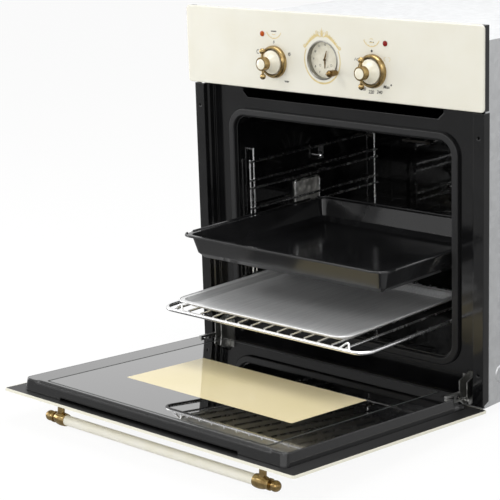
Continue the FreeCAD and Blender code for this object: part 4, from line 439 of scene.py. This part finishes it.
# Finish of each slot. A streak is the stretch of the rolling lines along X, Y and Z.
ALONG_Y = (1, 0.04, 1)
CHROMED_WIRE = chrome_wire()
IVORY_GLASS = printed_glass("ivory_printed_glass", "#E6E2D0", "#EAE7D8", roughness=0.04)
BLACK_GLASS = printed_glass("black_printed_glass", "#060606", "#0A0A0A", coat=1.0)
SLOT_FINISH = {
    "ivory_enamel": ivory_enamel(),
    "handle_tube": ivory_lacquer(),
    "antique_brass": brass("antique_brass_casting", "#82683F", "#BCA473", patch_mm=9.0, roughness=0.14),
    "bezel_grey": satin_metal("satin_nickel_ring", "#7F7D77", "#A5A39C", roughness=0.3, streak=(1, 1, 1)),
    "dial_paper": dial_card(),
    "lamp_plastic": lamp_plastic(),
    "black_plastic": black_polyamide(),
    "galvanised_steel": galvanised_sheet(),
    "black_enamel": vitreous_enamel("black_vitreous_enamel", "#0A0A0B", "#121213", roughness=0.09),
    "grey_enamel": vitreous_enamel("speckled_oven_enamel", "#090909", "#101011", roughness=0.07, coat=0.6,
                                   speckled=True),
    "chromed_wire": CHROMED_WIRE,
    "aluminium_sheet": satin_metal("rolled_aluminium", "#CFCFCF", "#EDEDEC", roughness=0.42, streak=ALONG_Y),
    "zinc_steel": satin_metal("zinc_plated_steel", "#9C9C9A", "#BDBDBA", roughness=0.32, streak=(1, 1, 0.1)),
    "stainless_tube": satin_metal("heat_dulled_stainless", "#6E6B66", "#97938C", roughness=0.36,
                                  streak=(1, 0.1, 1)),
    "yellow_brass": brass("machined_brass", "#A98A4C", "#CFB06E", patch_mm=12.0, roughness=0.28),
    "white_ceramic": porcelain(),
    "seal_rubber": silicone_rubber(),
    "glass_wool": glass_wool(),
    "door_glass": IVORY_GLASS,
    "inner_glass": BLACK_GLASS,
    "lamp_lens": pressed_lamp_glass(),
}

# Pieces with a finish of their own
KNOB_MOULDING = ivory_moulding()
PAN_ENAMEL = vitreous_enamel("thick_black_enamel", "#0A0A0B", "#121213", roughness=0.06, coat=0.7,
                             edge_mm=4.0)
TRAY_ENAMEL = vitreous_enamel("dark_grey_enamel", "#1C1C1D", "#262627", roughness=0.1, edge_mm=2.5)
DULLED_SHEET = satin_metal("dulled_aluminium_sheet", "#DCDCDC", "#F4F4F3", roughness=0.34, streak=ALONG_Y,
                           metallic=0.4)
BROWNED_BRASS = brass("browned_brass", "#5C4728", "#8E7348", patch_mm=3.0, roughness=0.24)
NODE_FINISH = {
    "function_knob": KNOB_MOULDING,
    "gas_knob": KNOB_MOULDING,
    "clock_setting_knob": BROWNED_BRASS,
    "hour_hand": BROWNED_BRASS,
    "minute_hand": BROWNED_BRASS,
    "door_pan": PAN_ENAMEL,
    "deep_tray": TRAY_ENAMEL,
    "baking_sheet": DULLED_SHEET,
}

# Faces of the door panes, and the inks
PANE_BACK = printed_glass("black_printed_back", "#0B0B0B", "#121212", roughness=0.45)
GROUND_EDGE = printed_glass("ground_glass_edge", "#3C3F3E", "#4C504E", roughness=0.3)
# Painted light: the inner pane's window is painted the pale amber of the lit floor seen through the tinted front
# window.
PAINTED_FLOOR_THROUGH_WINDOW = printed_glass("window_painted_lit_floor", "#E6D8AB", "#EBDDB5", gloss=0.25)
WINDOW_BRONZE = printed_glass("bronze_reflecting_glass", "#1C140B", "#2A1E10")
GOLD_INK = ceramic_ink("gold_ceramic_ink", "#CDB679", "#DDCB98", roughness=0.4)
BLACK_INK = ceramic_ink("black_ceramic_ink", "#1E1B18", "#2C2824", roughness=0.45)
DIAL_INK = ceramic_ink("grey_dial_ink", "#2E2C28", "#47443E", roughness=0.5)


def dress_nodes():
    """Give every carried-over node its own finish, or else that of its slot."""
    for part in frame["record"]["subparts"]:
        piece = frame["nodes"][part["node"]]
        piece.data.materials.clear()
        piece.data.materials.append(NODE_FINISH.get(part["node"]) or SLOT_FINISH[part["material_slot"]])


# Mesh helpers

def new_piece(name, mesh, finishes, body):
    """Object from a finished mesh in metres, dressed and carried by a body."""
    bmesh.ops.recalc_face_normals(mesh, faces=mesh.faces)
    data = bpy.data.meshes.new(name)
    mesh.to_mesh(data)
    mesh.free()
    for finish in finishes:
        data.materials.append(finish)
    piece = bpy.data.objects.new(name, data)
    bpy.context.scene.collection.objects.link(piece)
    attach(piece, body)
    return piece


def spiral(cx, cz, first, last, start, end, steps=24):
    """Points of a turn in the panel's plane whose radius runs from first to last.

    Angles are in degrees from the right, counter-clockwise.
    """
    points = []
    for i in range(steps + 1):
        share = i / steps
        angle = math.radians(start + (end - start) * share)
        radius = first + (last - first) * share
        points.append((cx + radius * math.cos(angle), cz + radius * math.sin(angle)))
    return points


def arc(cx, cz, radius, start, end, steps=24):
    """Points of a circular arc, as a spiral of one radius."""
    return spiral(cx, cz, radius, radius, start, end, steps)


def outline(half, low, high, corner, mid=0.0, steps=6):
    """Rounded rectangle, as (across, up) pairs."""
    points = []
    left, right = mid - half + corner, mid + half - corner
    for cx, cz, start in ((right, low + corner, -90), (right, high - corner, 0),
                          (left, high - corner, 90), (left, low + corner, 180)):
        points += arc(cx, cz, corner, start, start + 90, steps)
    return points


# Print: a stroke is a tuple of its points, its first width and its last width

def stroke(mesh, points, first, last, y):
    """Printed line in the panel's plane whose width runs from first to last."""
    rows = []
    for i, (x, z) in enumerate(points):
        ax, az = points[max(i - 1, 0)]
        bx, bz = points[min(i + 1, len(points) - 1)]
        length = math.hypot(bx - ax, bz - az)
        half = (first + (last - first) * i / (len(points) - 1)) / 2
        nx, nz = -(bz - az) / length * half, (bx - ax) / length * half
        sides = ((x - nx, z - nz), (x + nx, z + nz))
        rows.append([mesh.verts.new((px * MM, y * MM, pz * MM)) for px, pz in sides])
    for low, high in zip(rows, rows[1:]):
        mesh.faces.new((low[0], high[0], high[1], low[1]))


def leaf(base, tip, bend, width):
    """Stroke of a leaf that bows sideways by bend and runs out to a point."""
    dx, dz = tip[0] - base[0], tip[1] - base[1]
    long = math.hypot(dx, dz)
    mid = ((base[0] + tip[0]) / 2 - dz / long * bend, (base[1] + tip[1]) / 2 + dx / long * bend)
    points = []
    for i in range(LEAF_STEPS + 1):
        t = i / LEAF_STEPS
        a, b, c = (1 - t) ** 2, 2 * t * (1 - t), t ** 2
        points.append((a * base[0] + b * mid[0] + c * tip[0], a * base[1] + b * mid[1] + c * tip[1]))
    return points, width, LEAF_TIP


def shifted(strokes, x, z, flip=1):
    """The same strokes about another middle; flip -1 mirrors them left to right."""
    return [([(x + flip * u, z + v) for u, v in points], first, last) for points, first, last in strokes]


def printed(name, strokes, ink, y):
    """One thin printed piece made of strokes."""
    mesh = bmesh.new()
    for i, (points, first, last) in enumerate(strokes):
        stroke(mesh, points, first, last, y - i * STROKE_STEP)
    new_piece(name, mesh, [ink], "oven_body")


def numeral(name, words, x, z, height, ink, y):
    """Printed figures on the panel, centred at x and z."""
    text = bpy.data.curves.new(name, "FONT")
    text.body = words
    text.size = height * MM
    text.align_x = "CENTER"
    text.align_y = "CENTER"
    text.shear = FIGURE_SLANT
    text.offset = FIGURE_WEIGHT * height * MM
    text.materials.append(ink)
    piece = bpy.data.objects.new(name, text)
    upright = Matrix.Rotation(math.radians(90), 4, "X")
    piece.matrix_world = Matrix.Translation(Vector((x, y, z)) * MM) @ upright
    bpy.context.scene.collection.objects.link(piece)
    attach(piece, "oven_body")


def clock_ornament():
    """Gilt acanthus crown over the clock and a fine ring below it, drawn about the clock's middle."""
    # Right half: a stem that swells and thins out, with pairs of leaves that grow shorter along it.
    swelling = [(4.0, 37.0), (8.5, 38.2), (13.0, 37.2), (17.5, 34.8)]
    thinning = [(17.5, 34.8), (22.0, 31.5), (26.5, 27.2), (30.5, 22.8), (34.0, 18.5)]
    half = [(swelling, 2.0, 5.0), (thinning, 5.0, 1.6)]
    for i, (u, v) in enumerate(swelling[1:] + thinning[1:]):
        out = math.atan2(v, u)
        long = 6.0 - 0.4 * i
        for turn, bend in ((0.5, 1.0), (-0.35, -0.8)):
            tip = (u + long * math.cos(out + turn), v + long * math.sin(out + turn))
            half.append(leaf((u, v), tip, bend, 2.6))
    # The scrolls at the stem's end and at its top, and the side leaves of the middle tuft
    half.append((spiral(35.2, 21.0, 2.8, 0.7, -110, 250, 20), 1.7, 0.8))
    half.append((spiral(11.0, 43.2, 2.6, 0.7, 230, -130, 20), 1.4, 0.7))
    half.append(leaf((1.0, 39.0), (6.6, 44.4), 1.4, 2.4))
    half.append(leaf((0.6, 42.0), (3.8, 47.2), 1.0, 1.8))
    half.append(leaf((1.0, 38.4), (4.6, 35.0), -0.8, 2.0))
    # The tuft's upright leaves, and the ring, which is widest at the bottom
    middle = [leaf((0, 40.0), (0, 51.0), 0, 3.6), leaf((0, 41.0), (0, 35.0), 0, 3.0)]
    middle.append((arc(0, 0, ORNAMENT_R, 27, -90, 36), 1.6, 3.0))
    middle.append((arc(0, 0, ORNAMENT_R, -90, -207, 36), 3.0, 1.6))
    strokes = shifted(middle + half, CLOCK_X, CLOCK_Z) + shifted(half, CLOCK_X, CLOCK_Z, -1)
    printed("clock_ornament", strokes, GOLD_INK, PANEL_PRINT_Y)


def lamp_swags():
    """Small gilt garlands over the two knobs, each a bow of leaves under a short inner bow."""
    swag = [(arc(0, SWAG_R, SWAG_R, -154, -26, 24), 1.4, 1.4), (arc(0, 11.5, 5.5, -130, -50, 10), 1.2, 1.2)]
    for i in range(7):
        angle = math.radians(-150 + 20 * i)
        u, v = SWAG_R * math.cos(angle), SWAG_R + SWAG_R * math.sin(angle)
        swag.append(leaf((u, v), (u + 1.2, v + 2.2), 0.3, 1.6))
    strokes = shifted(swag, SWITCH_X, SWAG_Z) + shifted(swag, GAS_SWAG_X, SWAG_Z)
    strokes.append((arc(GAS_SWAG_X, SWAG_Z + 7, 5.0, 50, 130, 10), 1.0, 1.0))
    printed("lamp_swags", strokes, GOLD_INK, PANEL_PRINT_Y)


def scale_marks():
    """Black signs round the knobs: dashes, dots, and plain pictures of a lamp, a fan, heat and drops."""
    strokes = [([(SWITCH_X - 5.6, SWAG_Z + 11.4), (SWITCH_X + 5.6, SWAG_Z + 11.6)], 1.7, 1.7),
               ([(GAS_X - 4.6, SWAG_Z + 6.8), (GAS_X - 0.6, SWAG_Z + 6.8)], 1.9, 1.9),
               ([(GAS_X + 0.6, SWAG_Z + 6.6), (GAS_X + 3.8, SWAG_Z + 6.6)], 1.5, 1.5)]
    strokes.append((arc(GAS_X - 0.6, 539.4, 0.95, 0, 360, 16), 1.9, 1.9))
    strokes.append((arc(130.0, 490.2, 0.75, 0, 360, 16), 1.5, 1.5))
    lamp_sign = [(arc(0, 0, 1.6, 0, 360, 20), 1.3, 1.3)]
    for i in range(8):
        u, v = math.cos(math.radians(45 * i)), math.sin(math.radians(45 * i))
        lamp_sign.append(([(2.4 * u, 2.4 * v), (3.6 * u, 3.6 * v)], 0.6, 0.6))
    strokes += shifted(lamp_sign, *LAMP_SIGN_AT)
    fan_sign = [([(-5.0, 0.6), (-2.4, 0.6)], 1.1, 1.1), (arc(-1.4, 0, 0.9, 0, 360, 14), 1.2, 1.2),
                (arc(2.2, 0, 1.0, 0, 360, 14), 1.3, 1.3), ([(3.2, 0.2), (5.2, 0.2)], 0.9, 0.9)]
    strokes += shifted(fan_sign, *FAN_SIGN_AT)
    heat_sign = [(arc(0, 0, 3.0, 60, 300, 18), 1.1, 1.1), ([(2.4, 0), (5.4, 0)], 1.0, 1.0)]
    strokes += shifted(heat_sign, *HEAT_SIGN_AT)
    drop_sign = [([(-4.4, -1.8), (-2.4, 2.2), (-0.6, -1.8)], 0.9, 0.9),
                 (arc(2.2, -0.4, 1.5, 0, 360, 16), 0.9, 0.9)]
    strokes += shifted(drop_sign, *DROP_SIGN_AT)
    printed("scale_marks", strokes, BLACK_INK, PANEL_PRINT_Y)


def gas_flame_sign():
    """Two small gilt flames beside the gas knob."""
    flame = [(spiral(0, 0, 3.6, 2.0, -80, 120, 16), 0.9, 0.4)]
    strokes = shifted(flame, LEFT_FLAME_X, FLAME_Z, -1) + shifted(flame, RIGHT_FLAME_X, FLAME_Z)
    printed("gas_flame_sign", strokes, GOLD_INK, PANEL_PRINT_Y)


def panel_figures():
    """The zero over the left knob and the heat figures under the right one."""
    numeral("figure_zero", "0", *ZERO_AT, ZERO_H, BLACK_INK, PANEL_PRINT_Y)
    for words, x, z in HEAT_FIGURES:
        numeral("figure_" + words.lower(), words, x, z, HEAT_H, BLACK_INK, PANEL_PRINT_Y)


def clock_marks():
    """Hour figures on the dial card and three small signs for the timer."""
    for hour in range(1, 13):
        angle = math.radians(90 - 30 * hour)
        numeral("clock_hour_%d" % hour, str(hour), CLOCK_X + HOUR_R * math.cos(angle),
                CLOCK_Z + HOUR_R * math.sin(angle), HOUR_H, DIAL_INK, DIAL_PRINT_Y)
    pot = (arc(0, 0, 1.7, 0, 360, 18), 0.5, 0.5)
    bell = ([(-2.2, -1.6), (0, 2.0), (2.2, -1.6), (-2.2, -1.6)], 0.5, 0.5)
    strokes = shifted([pot], -15.1, 509.1) + shifted([bell], 0.8, 507.8) + shifted([pot], 7.2, 510.1)
    printed("clock_signs", strokes, DIAL_INK, DIAL_PRINT_Y)


# Door glass

def door_down():
    """Turn from the door shut, as its sizes are given, to the door open as drawn."""
    hinge = [j for j in frame["joints"] if j["name"] == "door_hinge"][0]
    pivot = Matrix.Translation(Vector(hinge["pos_m"]))
    return pivot @ Matrix.Rotation(math.radians(hinge["range_deg"][1]), 4, "X") @ pivot.inverted()


def pane(name, node, half, low, high, corner, deep, window, finishes):
    """Glass pane with a printed border and a window.

    The finishes are those of the front, the back, the edge, and the window's front and back.
    """
    edge, first_window = 2, 3
    mesh = bmesh.new()
    loops = []
    for depth in (deep, deep + GLASS_T):
        sides = []
        border = outline(half - ARRIS, low + ARRIS, high - ARRIS, corner - ARRIS)
        for points in (outline(half, low, high, corner), border, outline(*window)):
            y = (FRONT_Y + depth) * MM
            sides.append([mesh.verts.new((x * MM, y, (DOOR_BOTTOM + up) * MM)) for x, up in points])
        loops.append(sides)
    for index, (outer, border, inner) in enumerate(loops):
        for i in range(len(outer)):
            j = (i + 1) % len(outer)
            mesh.faces.new((outer[i], outer[j], border[j], border[i])).material_index = edge
            mesh.faces.new((border[i], border[j], inner[j], inner[i])).material_index = index
        mesh.faces.new(inner).material_index = first_window + index
    front, back = loops[0][0], loops[1][0]
    for i in range(len(front)):
        j = (i + 1) % len(front)
        mesh.faces.new((front[i], front[j], back[j], back[i])).material_index = edge
    mesh.transform(door_down())
    piece = new_piece(name, mesh, finishes, "door")
    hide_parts(node)


def door_panes():
    """Ivory front pane with a bronze window, and black inner pane whose window is painted pale amber: the lit
    floor seen through the tinted front window, painted on.
    """
    window = (WINDOW_W / 2, WINDOW_LOW, WINDOW_HIGH, WINDOW_CORNER, WINDOW_MID)
    front_window = (FRONT_WINDOW_W / 2, FRONT_WINDOW_LOW, FRONT_WINDOW_HIGH, WINDOW_CORNER)
    pane("door_front_pane", "door_outer_glass", DOOR_W / 2, 0, DOOR_H, DOOR_CORNER, 0, front_window,
         (IVORY_GLASS, PANE_BACK, IVORY_GLASS, WINDOW_BRONZE, PANE_BACK))
    pane("door_inner_pane", "door_inner_glass", INNER_W / 2, INNER_LOW, INNER_HIGH, INNER_CORNER,
         DOOR_T - GLASS_T, window, (BLACK_GLASS, BLACK_GLASS, GROUND_EDGE, BLACK_GLASS, PAINTED_FLOOR_THROUGH_WINDOW))


# Rolled edges

def reach(node):
    """Least and greatest corner of a carried-over node as drawn, in millimetres."""
    piece = frame["nodes"][node]
    corners = [piece.matrix_world @ Vector(corner) / MM for corner in piece.bound_box]
    return [Vector(pick(corner[axis] for corner in corners) for axis in range(3)) for pick in (min, max)]


def bead(mesh, points, radius, facing, closed):
    """Round rolled edge along points that lie in a plane; facing is the plane's normal."""
    rings = []
    last = len(points) - 1
    for i, point in enumerate(points):
        if closed:
            before, after = points[i - 1], points[(i + 1) % len(points)]
        else:
            before, after = points[max(i - 1, 0)], points[min(i + 1, last)]
        side = (after - before).normalized().cross(facing)
        ring = []
        for k in range(BEAD_SIDES):
            turn = 2 * math.pi * k / BEAD_SIDES
            out = side * math.cos(turn) + facing * math.sin(turn)
            ring.append(mesh.verts.new((point + out * radius) * MM))
        rings.append(ring)
    joins = list(zip(rings, rings[1:]))
    if closed:
        joins.append((rings[-1], rings[0]))
    else:
        mesh.faces.new(rings[0])
        mesh.faces.new(rings[-1])
    for here, there in joins:
        for k in range(BEAD_SIDES):
            j = (k + 1) % BEAD_SIDES
            mesh.faces.new((here[k], here[j], there[j], there[k])).smooth = True


def tray_rim():
    """Rolled rim of the deep tray between the notches that stop it on the rungs."""
    low, high = reach("deep_tray")
    z = high.z - TRAY_T + TRAY_BEAD_R
    x, front, back = high.x - TRAY_BEAD_R, low.y + TRAY_BEAD_R, high.y - TRAY_BEAD_R
    inset = TRAY_CORNER - TRAY_BEAD_R
    turn = x - inset
    lines = []
    for y, facing, first in ((front + inset, -90, -turn), (back - inset, 90, turn)):
        lines.append(arc(first, y, inset, facing - TRAY_SWEEP, facing, TRAY_SWEEP_STEPS)
                     + arc(-first, y, inset, facing, facing + TRAY_SWEEP, TRAY_SWEEP_STEPS))
    lines += [[(s * x, front + TRAY_NOTCH_END), (s * x, back - TRAY_NOTCH_END)] for s in (-1, 1)]
    mesh = bmesh.new()
    for line in lines:
        bead(mesh, [Vector((u, v, z)) for u, v in line], TRAY_BEAD_R, Vector((0, 0, 1)), False)
    new_piece("tray_rolled_rim", mesh, [TRAY_ENAMEL], "tray")


def lamp_frame():
    """Bright wire frame that holds the glass of the oven lamp to the wall."""
    low, high = reach("lamp_glass")
    half = (high.y - low.y) / 2 - LAMP_WIRE_R
    around = outline(half, low.z + LAMP_WIRE_R, high.z - LAMP_WIRE_R, LAMP_CORNER, (low.y + high.y) / 2)
    mesh = bmesh.new()
    bead(mesh, [Vector((high.x, y, z)) for y, z in around], LAMP_WIRE_R, Vector((1, 0, 0)), True)
    new_piece("lamp_frame", mesh, [CHROMED_WIRE], "oven_body")


# Stage

def surround():
    """World that is white to the camera, in gloss and through glass, and a softer fill on the oven."""
    world = bpy.data.worlds.new("white_studio")
    bpy.context.scene.world = world
    world.use_nodes = True
    tree = world.node_tree
    tree.nodes.clear()
    path = add(tree, "ShaderNodeLightPath")
    seen = path.outputs["Is Camera Ray"]
    for ray in ("Is Glossy Ray", "Is Transmission Ray"):
        seen = add(tree, "ShaderNodeMath", {0: seen, 1: path.outputs[ray]}, operation="MAXIMUM")
    fill = add(tree, "ShaderNodeBackground", {"Color": linear("#F2F4F6"), "Strength": FILL_LIGHT})
    white = add(tree, "ShaderNodeBackground", {"Color": linear(WHITE), "Strength": 1.0})
    both = add(tree, "ShaderNodeMixShader", {0: seen, 1: fill, 2: white})
    add(tree, "ShaderNodeOutputWorld", {"Surface": both})


def floor():
    """Pale floor that glows nearly white to the camera, keeps the oven's shadow and is dimmer in gloss."""
    mesh = bpy.data.meshes.new("studio_floor")
    corners = [(x * FLOOR_HALF, y * FLOOR_HALF, FLOOR_Z) for x, y in ((-1, -1), (1, -1), (1, 1), (-1, 1))]
    mesh.from_pydata(corners, [], [(0, 1, 2, 3)])
    piece = bpy.data.objects.new("studio_floor", mesh)
    bpy.context.scene.collection.objects.link(piece)
    made, tree, shader = material("pale_studio_floor", Base_Color=linear("#F4F4F2"), Roughness=0.9)
    path = add(tree, "ShaderNodeLightPath")
    glow = add(tree, "ShaderNodeEmission", {"Color": linear(WHITE), "Strength": 1.0})
    dim = add(tree, "ShaderNodeEmission", {"Color": linear(WHITE), "Strength": FLOOR_MIRRORED})
    share = add(tree, "ShaderNodeMath", {0: path.outputs["Is Camera Ray"], 1: FLOOR_GLOW},
                operation="MULTIPLY")
    seen = add(tree, "ShaderNodeMixShader", {0: share, 1: shader, 2: glow})
    add(tree, "ShaderNodeMixShader", {0: path.outputs["Is Glossy Ray"], 1: seen, 2: dim},
        tree.nodes["Material Output"].inputs["Surface"])
    mesh.materials.append(made)


def softboxes():
    """Square soft lamps, all turned to the oven's middle."""
    for name, at, width, power in SOFTBOXES:
        light = bpy.data.lights.new(name, "AREA")
        light.shape = "SQUARE"
        light.size = width
        light.energy = power
        holder = bpy.data.objects.new(name, light)
        holder.location = at
        aim = Vector(LAMP_AIM) - Vector(at)
        holder.rotation_euler = aim.to_track_quat("-Z", "Y").to_euler()
        bpy.context.scene.collection.objects.link(holder)


def camera():
    """Camera at the photograph's place, solved from the oven's straight edges."""
    azimuth, elevation, roll = (math.radians(v) for v in (CAMERA_AZIMUTH, CAMERA_ELEVATION, CAMERA_ROLL))
    back = Vector((math.sin(azimuth) * math.cos(elevation), -math.cos(azimuth) * math.cos(elevation),
                   math.sin(elevation)))
    right = (-back).cross(Vector((0, 0, 1))).normalized()
    up = right.cross(-back)
    across = right * math.cos(roll) + up * math.sin(roll)
    upright = up * math.cos(roll) - right * math.sin(roll)
    data = bpy.data.cameras.new("photo_camera")
    data.sensor_width = CAMERA_SENSOR
    data.lens = CAMERA_LENS
    data.clip_start = CAMERA_NEAR
    holder = bpy.data.objects.new("photo_camera", data)
    axes = Matrix((across, upright, back)).transposed().to_4x4()
    holder.matrix_world = Matrix.Translation(Vector(CAMERA_AT)) @ axes
    bpy.context.scene.collection.objects.link(holder)
    bpy.context.scene.camera = holder


bpy.context.scene.view_settings.view_transform = "Standard"
camera()
surround()
floor()
softboxes()
dress_nodes()
door_panes()
clock_ornament()
lamp_swags()
scale_marks()
gas_flame_sign()
panel_figures()
clock_marks()
tray_rim()
lamp_frame()
